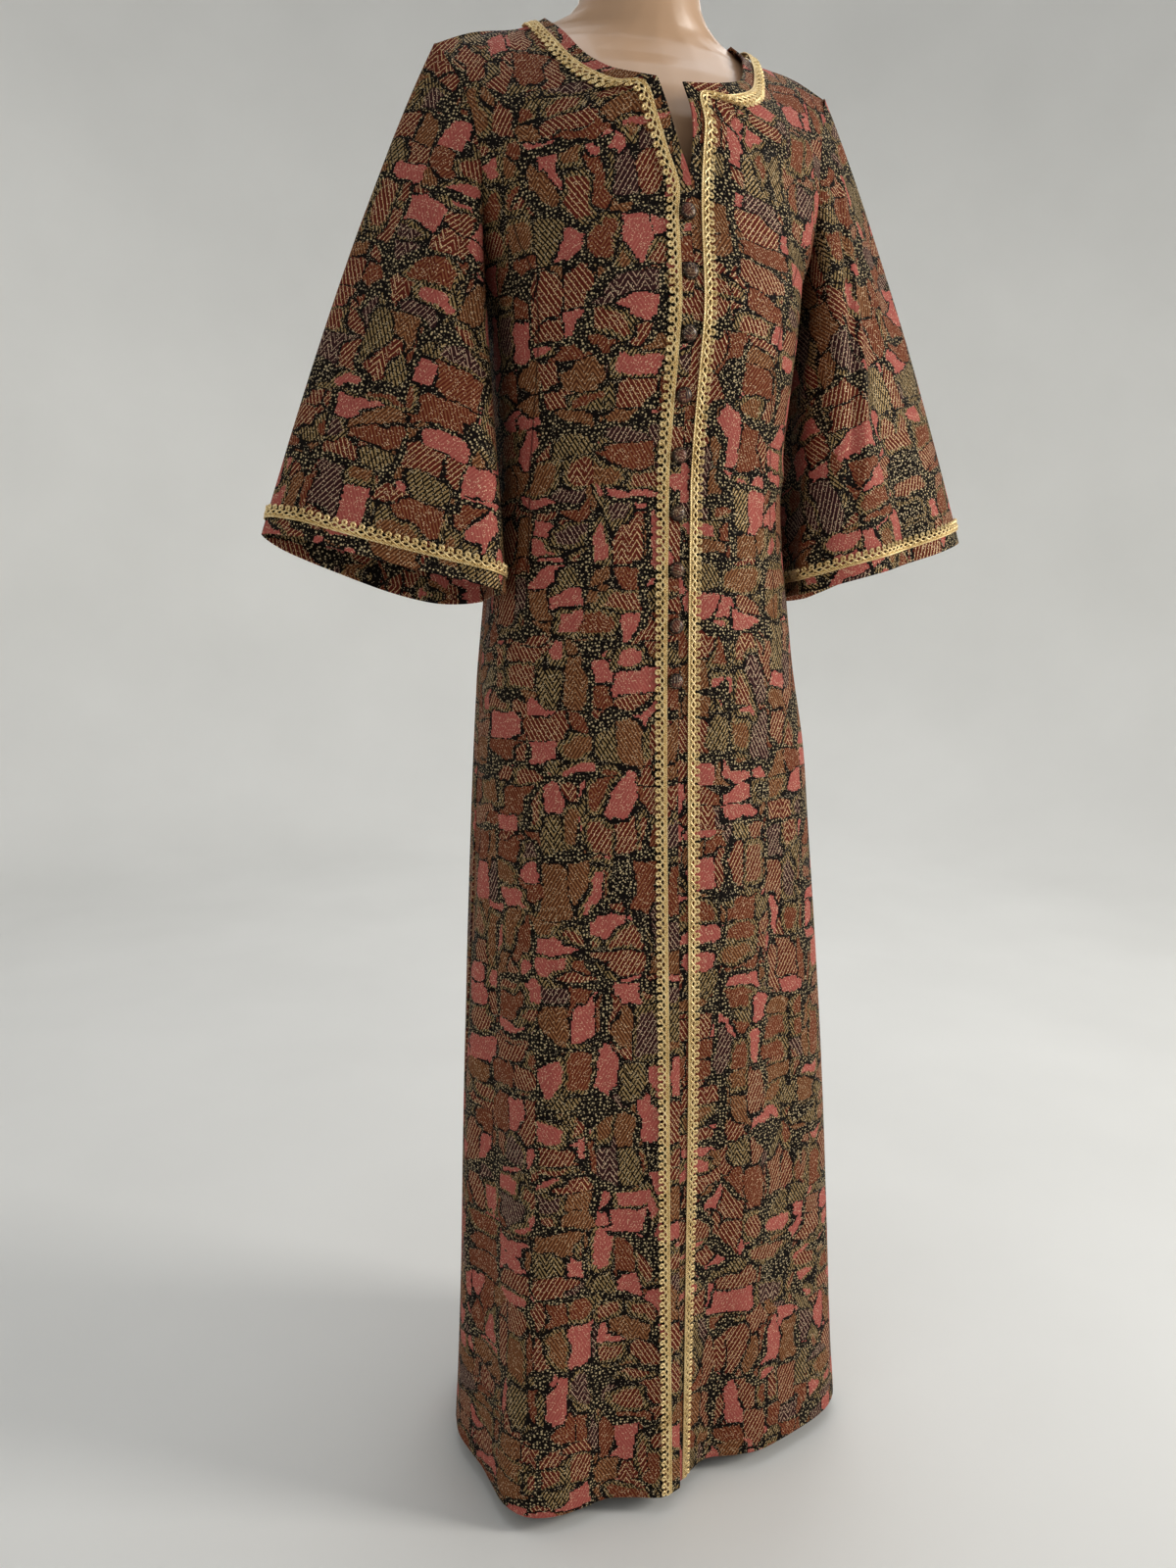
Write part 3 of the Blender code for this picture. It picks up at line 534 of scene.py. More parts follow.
def panel_cloth(points, side):
    """Where each point lies on the flat cloth: across from the centre line, and up from the hem."""
    across = running_length(points, 1) + points[:, :1, 0] * side
    return np.stack([across * side, running_length(points)], axis=2)


def sleeve_cloth(points, side):
    """Where each point lies on the flat cloth: across from the outer fold, and down from the armhole."""
    across = running_length(points, 1)
    across -= across[:, [points.shape[1] // 2]]
    return np.stack([across * side, -running_length(points)], axis=2)


def spread(shift, rows, columns, shape):
    """Shifts known at some rows and columns, read in between on straight lines."""
    tall = np.stack([np.interp(np.arange(shape[0]), rows, line) for line in shift.T])
    return np.stack([np.interp(np.arange(shape[1]), columns, line) for line in tall.T])


def relaxed(points, cloth, held=True):
    """Flat places moved until the cloth's own lengths are kept as well as they can be.

    Held: the first column stays in place.
    """
    low, high, every = slice(None, -1), slice(1, None), slice(None)
    sides = ((every, low, every, high), (low, every, high, every))
    pairs = (*sides, (low, low, high, high), (low, high, high, low))
    flat = cloth.copy()
    for stride, rounds in RELAX_ROUNDS:
        rows, columns = (np.unique(np.append(np.arange(0, n, stride), n - 1)) for n in flat.shape[:2])
        grid = np.ix_(rows, columns)
        solid, places = points[grid], flat[grid]
        lengths = [np.linalg.norm(solid[c, d] - solid[a, b], axis=2) for a, b, c, d in pairs]
        count = np.zeros(places.shape[:2])
        for a, b, c, d in pairs:
            count[a, b] += 1
            count[c, d] += 1
        for _ in range(rounds):
            move = np.zeros_like(places)
            for (a, b, c, d), length in zip(pairs, lengths):
                gap = places[c, d] - places[a, b]
                now = np.linalg.norm(gap, axis=2)
                push = gap * ((now - length) / np.maximum(now, LEAST_LENGTH) / 2)[..., None]
                move[a, b] += push
                move[c, d] -= push
            if held:
                move[:, 0] = 0
            places = places + move / count[..., None] * RELAX_SHARE
        shift = places - flat[grid]
        for k in range(2):
            flat[..., k] += spread(shift[..., k], rows, columns, flat.shape)
    return flat


def cloth_line(row):
    """The points of a line given as a row of u and v in millimetres."""
    return np.reshape(row, (-1, 2)) / 1000


def distance_to(line, cloth):
    """Each place's distance from a line, signed by its side, and its share of the way along the line."""
    best = np.full(cloth.shape[:2], np.inf)
    signed, along = np.zeros_like(best), np.zeros_like(best)
    whole = length_of(line)
    start = 0.0
    for a, b in zip(line, line[1:]):
        reach = b - a
        size = np.linalg.norm(reach)
        t = np.clip(((cloth - a) @ reach) / size**2, 0, 1)
        away = cloth - a - t[..., None] * reach
        far = np.linalg.norm(away, axis=2)
        nearer = far < best
        best = np.where(nearer, far, best)
        turn = away[..., 0] * reach[1] - away[..., 1] * reach[0]
        signed = np.where(nearer, far * np.sign(turn), signed)
        along = np.where(nearer, (start + t * size) / whole, along)
        start += size
    return signed, along


def dart_places(line, cloth):
    """Each place's distance from a dart's line, and how far past the line's ends it is."""
    line = cloth_line(line)
    before = line[0] - unit(line[1] - line[0]) * DART_REACH
    after = line[-1] + unit(line[-1] - line[-2]) * DART_REACH
    longer = np.concatenate([[before], line, [after]])
    away, along = distance_to(longer, cloth)
    along *= length_of(longer)
    past = np.maximum(DART_REACH - along, along - length_of(longer) + DART_REACH)
    return np.stack([away, np.maximum(past, 0.0)], axis=2)


def creased(points, normals, cloth, creases):
    """Cloth pushed in or out along its creases. They are soft across and fade at both ends."""
    total = np.zeros(points.shape[:2])
    for width, depth, *line in creases:
        away, along = distance_to(cloth_line(line), cloth)
        across = np.exp(-((away / (width / 1000)) ** 2))
        total += depth / 1000 * across * np.sin(math.pi * np.clip(along, *CREASE_ENDS)) ** CREASE_FADE
    return points + normals * total[..., None]


def hem_turned(points, normals, cloth):
    """Cloth pushed slightly out where its hem is turned in. The push fades past the turn."""
    return points + normals * (HEM_TURN_OUT * np.clip(HEM_FADE - cloth[..., 1:] / HEM_TURN, 0, 1) ** 0.5)


# Meshes


def linked(name, data):
    thing = bpy.data.objects.new(name, data)
    bpy.context.scene.collection.objects.link(thing)
    return thing


def smooth_mesh(name, bm, material):
    mesh = bpy.data.meshes.new(name)
    bm.to_mesh(mesh)
    bm.free()
    mesh.materials.append(material)
    mesh.shade_smooth()
    return linked(name, mesh)


def finish_mesh(name, bm, material, node):
    """A piece of the garment, in place of the solid of a node."""
    thing = smooth_mesh(name, bm, material)
    thing.data.set_sharp_from_angle(angle=SHARP_ANGLE)
    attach(thing, "root")
    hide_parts(node)
    return thing


def add_shell(bm, points, normals, cloth, loop=False, open_rows=0, free=(), dart=None):
    """Cloth with a thickness. Its free edges are rounded: first and last are columns, low and high rows."""
    rows, columns = points.shape[:2]
    inner = points - normals * WALL
    used = columns - 1 if loop else columns
    uv = bm.loops.layers.uv.get("cloth") or bm.loops.layers.uv.new("cloth")
    dart_uv = bm.loops.layers.uv.get("dart") or bm.loops.layers.uv.new("dart")
    if dart is None:
        dart = np.ones((rows, columns, 2))
    skin, lining = ([[bm.verts.new(p) for p in row[:used]] for row in lift(g)] for g in (points, inner))

    def face(corners, places):
        made = bm.faces.new(corners)
        for loop_corner, (j, i) in zip(made.loops, places):
            loop_corner[uv].uv = cloth[j, i]
            loop_corner[dart_uv].uv = dart[j, i]

    for i in range(columns - 1):
        k = (i + 1) % used if loop else i + 1
        for j in range(rows - 1):
            places = ((j, i), (j, i + 1), (j + 1, i + 1), (j + 1, i))
            face((skin[j][i], skin[j][k], skin[j + 1][k], skin[j + 1][i]), places)
            face((lining[j + 1][i], lining[j + 1][k], lining[j][k], lining[j][i]), places[::-1])

    def rim(edge, line, next_line):
        bulge = EDGE_BULGE if edge in free else 0.0
        middle = []
        for (j, i), (m, n) in zip(line, next_line):
            away = unit(points[j, i] - points[m, n])
            half = (points[j, i] + inner[j, i]) / 2 + away * bulge
            middle.append(bm.verts.new(lift(half)) if i < used or not loop else middle[0])
        for (j, i), (m, n), a, b in zip(line, line[1:], middle, middle[1:]):
            k, o = i % used, n % used
            places = ((j, i), (j, i), (m, n), (m, n))
            face((skin[j][k], a, b, skin[m][o]), places)
            face((a, lining[j][k], lining[m][o], b), places)

    for edge, j, m in (("low", 0, 1), ("high", rows - 1, rows - 2)):
        rim(edge, [(j, i) for i in range(columns)], [(m, i) for i in range(columns)])
    if loop:
        return
    for edge, i, n, start in (("first", 0, 1, open_rows), ("last", columns - 1, columns - 2, 0)):
        rim(edge, [(j, i) for j in range(start, rows)], [(j, n) for j in range(start, rows)])


# Braid

BRAID_PITCH = 0.0079
BRAID_STEP = 0.002
BRAID_FLOOR = 0.0004
BRAID_END = 0.0006
THREAD_RISE = 0.0003
CORD_ACROSS = 0.0008
CORD_RADIUS = 0.00075
PICOT_ACROSS = 0.0096
PICOT_RING = 0.00185
PICOT_RADIUS = 0.00110
PICOT_STEPS = 9

# The chain and the web, two threads each: points and half turns a pitch, middle, swing, radius, sides, and
# how often a thread rises in a turn
TWISTS = (
    (6, 3, 0.0023, 0.0005, 0.0007, 4, 1),
    (8, 1, 0.0053, 0.0021, 0.0010, 5, 2),
)


class Ribbon:
    """The flat strip that a braid lies on: places along it, across it and above it."""

    def __init__(self, near, far, near_out, far_out):
        keys = running_length((near + far) / 2)
        both = np.concatenate([near, far, near_out, far_out], axis=1)
        self.table = read(keys, both, divided(keys, BRAID_STEP))
        self.keys = running_length((self.table[:, :3] + self.table[:, 3:6]) / 2)
        self.length = self.keys[-1]

    def at(self, places):
        """Points for rows of (along, across as a share of the width, height)."""
        row = np.stack([np.interp(places[:, 0], self.keys, column) for column in self.table.T], axis=1)
        share = places[:, 1:2]
        out = unit(row[:, 6:9] * (1 - share) + row[:, 9:12] * share)
        return row[:, :3] * (1 - share) + row[:, 3:6] * share + out * places[:, 2:3]


def add_thread(bm, ribbon, line, radius, sides, closed):
    """A round thread along a line of (along, across, height) places on the ribbon, all in metres."""
    line = np.stack(line, axis=1)
    ahead, behind = np.roll(line, -1, axis=0), np.roll(line, 1, axis=0)
    if not closed:
        ahead[-1], behind[0] = line[-1], line[0]
    run = unit(ahead - behind)
    sidewards = unit(np.cross(run, (0.0, 0.0, 1.0)))
    upwards = unit(np.cross(sidewards, run))
    angles = np.linspace(0, 2 * math.pi, sides, endpoint=False)
    around = [line + radius * (math.cos(a) * sidewards + math.sin(a) * upwards) for a in angles]
    places = np.stack(around, axis=1).reshape(-1, 3)
    places[:, 1] /= BRAID_WIDTH
    found = lift(ribbon.at(places)).reshape(len(line), sides, 3)
    rings = [[bm.verts.new(p) for p in ring] for ring in found]
    count = len(rings)
    for j in range(count if closed else count - 1):
        a, b = rings[j], rings[(j + 1) % count]
        for i in range(sides):
            k = (i + 1) % sides
            bm.faces.new((a[i], a[k], b[k], b[i]))
    if not closed:
        bm.faces.new(rings[0][::-1])
        bm.faces.new(rings[-1])


def add_braid(name, ribbon, node, closed=False):
    """A crocheted braid: a cord, a chain, a web with an eye at each pitch, and picots along its far edge."""
    bm = bmesh.new()
    pitches = round(ribbon.length / BRAID_PITCH)
    pitch = ribbon.length / pitches
    end = 0.0 if closed else BRAID_END

    def along(count):
        return np.linspace(end, ribbon.length - end, pitches * count, endpoint=not closed)

    s = along(4)
    line = [s, np.full_like(s, CORD_ACROSS), np.full_like(s, BRAID_FLOOR + CORD_RADIUS)]
    add_thread(bm, ribbon, line, CORD_RADIUS, 5, closed)
    for count, turns, across, swing, radius, sides, waves in TWISTS:
        s = along(count)
        for turn in (0, math.pi):
            phase = s / pitch * turns * math.pi + turn
            height = BRAID_FLOOR + radius + THREAD_RISE * np.cos(waves * phase)
            add_thread(bm, ribbon, [s, across + swing * np.sin(phase), height], radius, sides, closed)
    angles = np.linspace(0, 2 * math.pi, PICOT_STEPS, endpoint=False)
    for i in range(pitches):
        run = (i + 0.5) * pitch + PICOT_RING * np.cos(angles)
        across = PICOT_ACROSS + PICOT_RING * np.sin(angles)
        height = BRAID_FLOOR + PICOT_RADIUS + THREAD_RISE * np.sin(angles)
        add_thread(bm, ribbon, [run, across, height], PICOT_RADIUS, 4, True)
    return finish_mesh(name, bm, gold, node)


# Materials

CLOUD_ENDS = (0.3, 0.7)
MILLIMETRES = 1000.0
FORM_SMOOTHING = 0.012


class Nodes:
    """A material's node tree, with short ways to add to it."""

    def __init__(self, name):
        self.material = bpy.data.materials.new(name)
        self.material.use_nodes = True
        self.tree = self.material.node_tree
        self.shader = self.tree.nodes["Principled BSDF"]

    def add(self, kind, inputs=(), **settings):
        node = self.tree.nodes.new("ShaderNode" + kind)
        for key, value in settings.items():
            setattr(node, key, value)
        for key, value in dict(inputs).items():
            self.feed(node.inputs[key], value)
        return node

    def feed(self, socket, value):
        if isinstance(value, bpy.types.NodeSocket):
            self.tree.links.new(value, socket)
        else:
            socket.default_value = value

    def math(self, operation, *values, clamp=False):
        return self.add("Math", enumerate(values), operation=operation, use_clamp=clamp).outputs[0]

    def times(self, a, b):
        return self.math("MULTIPLY", a, b)

    def plus(self, a, b):
        return self.math("ADD", a, b)

    def minus(self, a, b):
        return self.math("SUBTRACT", a, b)

    def above(self, a, b):
        return self.math("GREATER_THAN", a, b)

    def most(self, a, b):
        return self.math("MAXIMUM", a, b)

    def line(self, value, slope, start):
        return self.math("MULTIPLY_ADD", value, slope, start)

    def zigzag(self, value, pitch):
        """0 to 0.5 and back once a pitch."""
        return self.math("PINGPONG", self.math("DIVIDE", value, pitch), 0.5)

    def place(self):
        return self.add("TexCoord").outputs["Object"]

    def uv(self, layer):
        return self.add("UVMap", uv_map=layer).outputs[0]

    def clouded(self, value, low, high):
        """Two colours that run into each other."""
        return self.ramp(value, ((CLOUD_ENDS[0], low), (CLOUD_ENDS[1], high)), "LINEAR")

    def vector(self, operation, *values):
        return self.add("VectorMath", enumerate(values), operation=operation).outputs[0]

    def scaled(self, vector, scale):
        return self.add("VectorMath", {0: vector, "Scale": scale}, operation="SCALE").outputs[0]

    def mix(self, factor, a, b):
        """One colour over another."""
        a, b = ((*colour, 1.0) if isinstance(colour, tuple) else colour for colour in (a, b))
        return self.add("Mix", {0: factor, 6: a, 7: b}, data_type="RGBA").outputs[2]

    def shaded(self, colour, shade_and_tone):
        inputs = {0: 1.0, 6: colour, 7: self.join(shade_and_tone, shade_and_tone, shade_and_tone)}
        return self.add("Mix", inputs, data_type="RGBA", blend_type="MULTIPLY").outputs[2]

    def blend(self, factor, a, b):
        return self.add("Mix", {0: factor, 2: a, 3: b}, data_type="FLOAT").outputs[0]

    def split(self, vector):
        return self.add("SeparateXYZ", {0: vector}).outputs

    def join(self, x, y, z=0.0):
        return self.add("CombineXYZ", {0: x, 1: y, 2: z}).outputs[0]

    def noise(self, vector, scale, detail=2.0, roughness=0.5):
        inputs = {"Vector": vector, "Scale": scale, "Detail": detail, "Roughness": roughness}
        return self.add("TexNoise", inputs, noise_dimensions="3D").outputs

    def cells(self, vector, size, randomness=1.0, distance="EUCLIDEAN", feature="F1"):
        inputs = {"Vector": vector, "Scale": 1 / size, "Randomness": randomness}
        node = self.add("TexVoronoi", inputs, feature=feature, distance=distance, voronoi_dimensions="2D")
        return node.outputs

    def ramp(self, value, stops, interpolation="CONSTANT"):
        node = self.add("ValToRGB", {0: value})
        ramp = node.color_ramp
        ramp.interpolation = interpolation
        while len(ramp.elements) < len(stops):
            ramp.elements.new(1.0)
        for element, (place, colour) in zip(ramp.elements, stops):
            element.position = place
            element.color = (*colour, 1.0)
        return node.outputs[0]

    def step(self, value, low, high):
        """0 below low and 1 above high, smooth between."""
        inputs = {"Value": value, "From Min": low, "From Max": high}
        return self.add("MapRange", inputs, interpolation_type="SMOOTHSTEP").outputs[0]

    def bump(self, height, strength, distance, **others):
        inputs = {"Height": height, "Strength": strength, "Distance": distance, **others}
        return self.add("Bump", inputs).outputs[0]

    def surface(self, inputs):
        """The finished material, with these inputs of its shader."""
        for key, value in inputs.items():
            self.feed(self.shader.inputs[key], value)
        return self.material


PINK = (0.42, 0.110, 0.092)
PINK_PALE = (0.58, 0.225, 0.175)
RUST = (0.150, 0.027, 0.016)
BROWN = (0.120, 0.041, 0.018)
PLUM = (0.052, 0.017, 0.018)
TAN = (0.370, 0.180, 0.080)
OLIVE = (0.360, 0.250, 0.115)
GROUND = (0.0090, 0.0055, 0.0042)
DOT = (0.62, 0.50, 0.30)
# Pale gold of the painted highlight on glints of metallic thread
PAINTED_GLINT = (0.92, 0.76, 0.52)
LINE_GOLD = (0.80, 0.58, 0.32)
LINE_PALE = (0.62, 0.43, 0.31)

# Each kind of patch: where it begins among the random numbers, base, thread, and the shares of its fine
# lines, dense lines, strokes and dots
PATCH_KINDS = (
    (0.00, PINK, PINK_PALE, 0.0, 0.45, 0.0, 0.0),
    (0.24, RUST, LINE_GOLD, 1.0, 0.0, 0.0, 0.0),
    (0.54, BROWN, TAN, 0.0, 0.85, 0.0, 0.0),
    (0.70, PLUM, LINE_PALE, 1.0, 0.0, 0.0, 0.0),
    (0.77, RUST, TAN, 0.0, 0.60, 0.0, 0.0),
    (0.91, GROUND, OLIVE, 0.0, 0.0, 1.0, 0.0),
    (0.98, GROUND, DOT, 0.0, 0.0, 0.0, 1.0),
)

# Sizes in the knit, in millimetres: a stitch, how far the outlines wander and fray (wavelength, reach), the
# blocks and the patches in them (size, randomness), how blocks squeeze those, ropes, and a dart's sewn line
STITCH = (1.6, 1.4, 1.0)
WANDER = (30, 14.0)
FRAY = (4, 4.0)
BLOCK = (58.0, 0.55)
PATCH = (31.0, 0.72)
SQUEEZE = ((0.66, 1.30), (1.36, 0.68))
ROPE_WIDTH = 4.0
SEWN_LINE = (0.35, 1.5)
LOOP = (1.4, 1.2)
HALF = (0.5, 0.5, 0.5)

# Pitch and share of the fine and dense lines, of the strokes, and of the dashes that they are broken into
FINE_LINES = (3.9, 0.20)
DENSE_LINES = (2.9, 0.46)
STROKE_LINES = (3.2, 0.54)
FINE_DASHES = (3.4, 0.7)
STROKE_DASHES = (7.0, 0.88)
LINE_SOFTNESS = 0.14

# How threads slant, the shares at which their way changes, and the chevron's pitch
THREAD_RISES = 0.62
THREAD_SPREAD = 0.85
WAYS = (0.42, 0.86)
CHEVRON_PITCH = 7.0

# Dots and glints: pitch, and the range of their sizes or the number above which one shows and its reach
DOT_PITCH = 3.5
DOT_SIZES = (0.16, 0.14)
GLINT_PITCH = 1.15
GLINT_FROM = 0.845
GLINT_REACH = 0.36

# Patches with a random number above this have a rope; slope and start of the widths of outlines and bands
ROPE_FROM = 0.64
OUTLINE = (3.0, -0.5)
BAND = (13.0, -4.4)


def knit_material(name, shift):
    """A jacquard knit: dark dotted bands between patches that are plain, lined, hatched or dotted."""
    n = Nodes(name)
    mm = n.vector("ADD", n.scaled(n.uv("cloth"), MILLIMETRES), (*shift, 0.0))
    x, y, _ = n.split(mm)

    def patches(where, size, randomness):
        """Squarish patches: how far each place is from the rim, and the patch's own random numbers."""
        first, second = (n.cells(where, size, randomness, "CHEBYCHEV", rank) for rank in ("F1", "F2"))
        return n.times(n.minus(second[0], first[0]), size / 2), n.split(first[1])

    # The outlines wander a little and step from stitch to stitch
    stitch = n.vector("SNAP", mm, STITCH)
    wander, ragged = (
        n.scaled(n.vector("SUBTRACT", n.noise(stitch, 1 / length, 1.0)[1], HALF), reach)
        for length, reach in (WANDER, FRAY)
    )
    bent = n.vector("ADD", n.vector("ADD", stitch, wander), ragged)
    block_rim, block_random = patches(n.vector("MULTIPLY", bent, (1.0, 0.90, 1.0)), *BLOCK)

    # Patches inside a block: some blocks have tall ones, others wide ones
    tall = n.above(block_random[2], 0.5)
    squeeze = n.join(n.blend(tall, *SQUEEZE[0]), n.blend(tall, *SQUEEZE[1]))
    patch_rim, patch_random = patches(n.vector("MULTIPLY", bent, squeeze), *PATCH)
    pick = n.math("FRACT", n.plus(patch_random[0], n.times(block_random[0], 3.7)))
    way = n.math("FRACT", n.plus(patch_random[1], block_random[1]))

    # Threads that run aslant, one way or the other, or meet as a chevron
    low = n.times(y, THREAD_RISES)
    rising = n.times(n.plus(low, x), THREAD_SPREAD)
    falling = n.times(n.minus(low, x), THREAD_SPREAD)
    chevron = n.times(n.plus(low, n.math("PINGPONG", x, CHEVRON_PITCH)), THREAD_SPREAD)
    slant = n.blend(n.above(way, WAYS[0]), rising, falling)
    slant = n.blend(n.above(way, WAYS[1]), slant, chevron)
    cross = n.blend(n.above(way, WAYS[0]), falling, rising)
    uneven = n.times(n.noise(mm, 1 / 3, 0.0)[0], 0.9)
    slant = n.plus(slant, uneven)

    def lines(pitch, share):
        edge, soft = share / 2, LINE_SOFTNESS / 2
        return n.minus(1.0, n.step(n.zigzag(slant, pitch), edge - soft, edge + soft))

    def dashes(pitch, share):
        wave = n.zigzag(n.plus(cross, n.noise(mm, 0.4, 0.0)[0]), pitch)
        return n.step(wave, (1 - share) / 2 - 0.03, (1 - share) / 2 + 0.05)

    fine_lines = n.times(lines(*FINE_LINES), n.line(dashes(*FINE_DASHES), 0.55, 0.45))
    dense_lines = lines(*DENSE_LINES)
    strokes = n.times(lines(*STROKE_LINES), dashes(*STROKE_DASHES))
    shares = [n.ramp(pick, [(kind[0], (kind[k],) * 3) for kind in PATCH_KINDS]) for k in (3, 4, 5, 6)]
    base = n.ramp(pick, [(kind[0], kind[1]) for kind in PATCH_KINDS])
    thread = n.ramp(pick, [(kind[0], kind[2]) for kind in PATCH_KINDS])
    grain = n.noise(mm, 1 / 1.7, 2.0, 0.7)[0]
    cloud = n.noise(mm, 1 / 16)[0]

    # Pale dots on the dark ground
    dot_cell = n.cells(mm, DOT_PITCH, 0.80)
    dot_size = n.line(n.split(dot_cell[1])[0], *DOT_SIZES)
    dots = n.minus(1.0, n.step(n.minus(dot_cell[0], dot_size), -0.04, 0.04))
    dots = n.times(dots, n.step(n.split(dot_cell[1])[1], 0.10, 0.14))

    cover = n.times(shares[0], fine_lines)
    for share, marks in zip(shares[1:], (dense_lines, strokes, dots)):
        cover = n.most(cover, n.times(share, marks))
    patch = n.mix(cover, base, thread)

    # Ropes of short strokes along some edges, and dark outlines
    rope_strokes = n.mix(strokes, GROUND, OLIVE)
    has_rope = n.above(patch_random[2], ROPE_FROM)
    rope = n.times(has_rope, n.math("LESS_THAN", patch_rim, ROPE_WIDTH))
    patch = n.mix(rope, patch, rope_strokes)
    outline = n.line(n.noise(bent, 1 / 14, 0.0)[0], *OUTLINE)
    patch = n.mix(n.math("LESS_THAN", patch_rim, outline), patch, GROUND)
    dotted = n.mix(dots, GROUND, DOT)
    band = n.line(n.noise(bent, 1 / 44, 0.0)[0], *BAND)
    in_block = n.above(block_rim, band)
    colour = n.mix(in_block, dotted, patch)

    # Loops of the knit, painted as shade between the stitches, with grain and cloud of random tone
    rib = n.math("SINE", n.times(x, 2 * math.pi / LOOP[0]))
    course = n.math("SINE", n.line(y, 2 * math.pi / LOOP[1], n.times(rib, 0.9)))
    loops = n.line(n.times(rib, course), 0.5, 0.5)
    shade_and_tone = n.line(loops, 0.22, 0.62)
    shade_and_tone = n.plus(shade_and_tone, n.times(grain, 0.34))
    shade_and_tone = n.plus(shade_and_tone, n.times(n.minus(cloud, 0.5), 0.25))
    colour = n.shaded(colour, shade_and_tone)
    # Glints of metallic thread: pale specks of painted highlight, which are also shinier and partly metallic
    # below
    speck = n.cells(n.vector("ADD", mm, wander), GLINT_PITCH)
    glint = n.above(n.split(speck[1])[0], GLINT_FROM)
    glint = n.times(glint, n.math("LESS_THAN", speck[0], GLINT_REACH))
    lit = n.times(glint, n.line(in_block, 0.45, 0.25))
    colour = n.mix(lit, colour, PAINTED_GLINT)

    # Sewn dart lines: a thin sunk line, as far as the dart goes
    away, past, _ = n.split(n.scaled(n.uv("dart"), MILLIMETRES))
    sewn = n.minus(1.0, n.step(n.math("ABSOLUTE", away), *SEWN_LINE))
    sewn = n.times(sewn, n.math("LESS_THAN", past, 1.0))
    colour = n.mix(n.times(sewn, 0.62), colour, GROUND)

    # The metallic threads stand out, and the ground lies lower
    lined, stroked = n.times(shares[0], fine_lines), n.times(shares[2], strokes)
    raised = n.most(lined, stroked)
    shiny = n.math("MAXIMUM", n.times(raised, in_block), glint, clamp=True)
    relief = n.plus(n.times(loops, 0.5), n.times(raised, 0.5))
    relief = n.plus(relief, n.times(in_block, 0.7))
    relief = n.minus(relief, n.times(sewn, 2.2))
    return n.surface({
        "Base Color": colour,
        "Roughness": n.blend(shiny, 0.78, 0.36),
        "Metallic": n.times(shiny, 0.3),
        "Specular IOR Level": 0.16,
        "Normal": n.bump(relief, 0.6, 0.0004),
    })


# A button's patches and lines in millimetres, and where on its way to the foot the cloth is darkened with
# painted shade
BUTTON_PATCH = 9.0
BUTTON_LINE_PITCH = 3.6
BUTTON_SHADE = (0.36, 0.66)


def button_material():
    """The dress cloth drawn tight over a button: mostly lined rust and brown, with painted shade towards the
    rim and specks of painted highlight.
    """
    n = Nodes("covered_button")
    mm = n.scaled(n.uv("cloth"), MILLIMETRES)
    x, y, _ = n.split(mm)
    pick = n.split(n.cells(mm, BUTTON_PATCH, 0.9, "CHEBYCHEV")[1])
    base = n.ramp(pick[0], [(0.0, RUST), (0.50, BROWN), (0.80, PLUM)])
    slant = n.blend(n.above(pick[1], 0.5), n.plus(x, y), n.minus(x, y))
    lines = n.minus(1.0, n.step(n.zigzag(slant, BUTTON_LINE_PITCH), 0.05, 0.16))
    grain = n.noise(mm, 0.7, 2.0, 0.7)[0]
    colour = n.mix(n.times(lines, 0.45), base, LINE_GOLD)
    # Painted shade: the cloth darkens towards the rim and under it, where the dome turns away
    edge = n.times(n.step(n.split(n.uv("rim"))[0], *BUTTON_SHADE), 0.90)
    colour = n.shaded(colour, n.times(n.line(grain, 0.6, 0.45), n.minus(1.0, edge)))
    # Specks of painted highlight on metallic thread, which are also a little glossier
    glint = n.above(n.split(n.cells(mm, 1.0)[1])[0], 0.90)
    return n.surface({
        "Base Color": n.mix(n.times(glint, 0.4), colour, PAINTED_GLINT),
        "Roughness": n.blend(n.most(lines, glint), 0.34, 0.28),
        "Metallic": n.times(lines, 0.3),
        "Specular IOR Level": 0.5,
        "Normal": n.bump(n.plus(grain, lines), 0.5, 0.0003),
    })


def gold_material():
    """Metallic yarn: pale and dark gold, with fine turns of thread whose grooves are darkened with painted
    shade.
    """
    n = Nodes("gold_yarn")
    place = n.place()
    fleck = n.noise(place, 900.0, 2.0, 0.6)[0]
    twist = {"Vector": place, "Scale": 290.0, "Distortion": 2.0}
    turns = n.add("TexWave", twist, bands_direction="DIAGONAL").outputs[1]
    tone = n.line(fleck, 0.55, n.times(n.noise(place, 60.0)[0], 0.25))
    stops = [(0.28, (0.20, 0.105, 0.030)), (0.44, (0.68, 0.47, 0.19)), (0.60, (1.0, 0.84, 0.52))]
    return n.surface({
        # The turns of thread add stripes of painted shade in the grooves between them; the flecks and the
        # tone are the yarn's own
        "Base Color": n.ramp(n.line(turns, 0.22, tone), stops, "LINEAR"),
        "Roughness": n.line(fleck, 0.3, 0.26),
        "Metallic": 0.55,
        "Normal": n.bump(n.plus(turns, fleck), 0.5, 0.0003),
    })


def form_material():
    """Smooth skin-toned plastic with a soft gloss and a faint unevenness."""
    n = Nodes("form_shell")
    cloud = n.noise(n.place(), 7.0, 3.0)[0]
    grain = n.noise(n.place(), 260.0)[0]
    smooth = n.add("Bevel", {"Radius": FORM_SMOOTHING}, samples=6).outputs[0]
    return n.surface({
        "Base Color": n.clouded(cloud, (0.52, 0.340, 0.215), (0.60, 0.400, 0.262)),
        "Roughness": n.line(grain, 0.10, 0.27),
        "Coat Weight": 0.25,
        "Coat Roughness": 0.15,
        "Normal": n.bump(n.plus(grain, cloud), 0.06, 0.0005, Normal=smooth),
    })


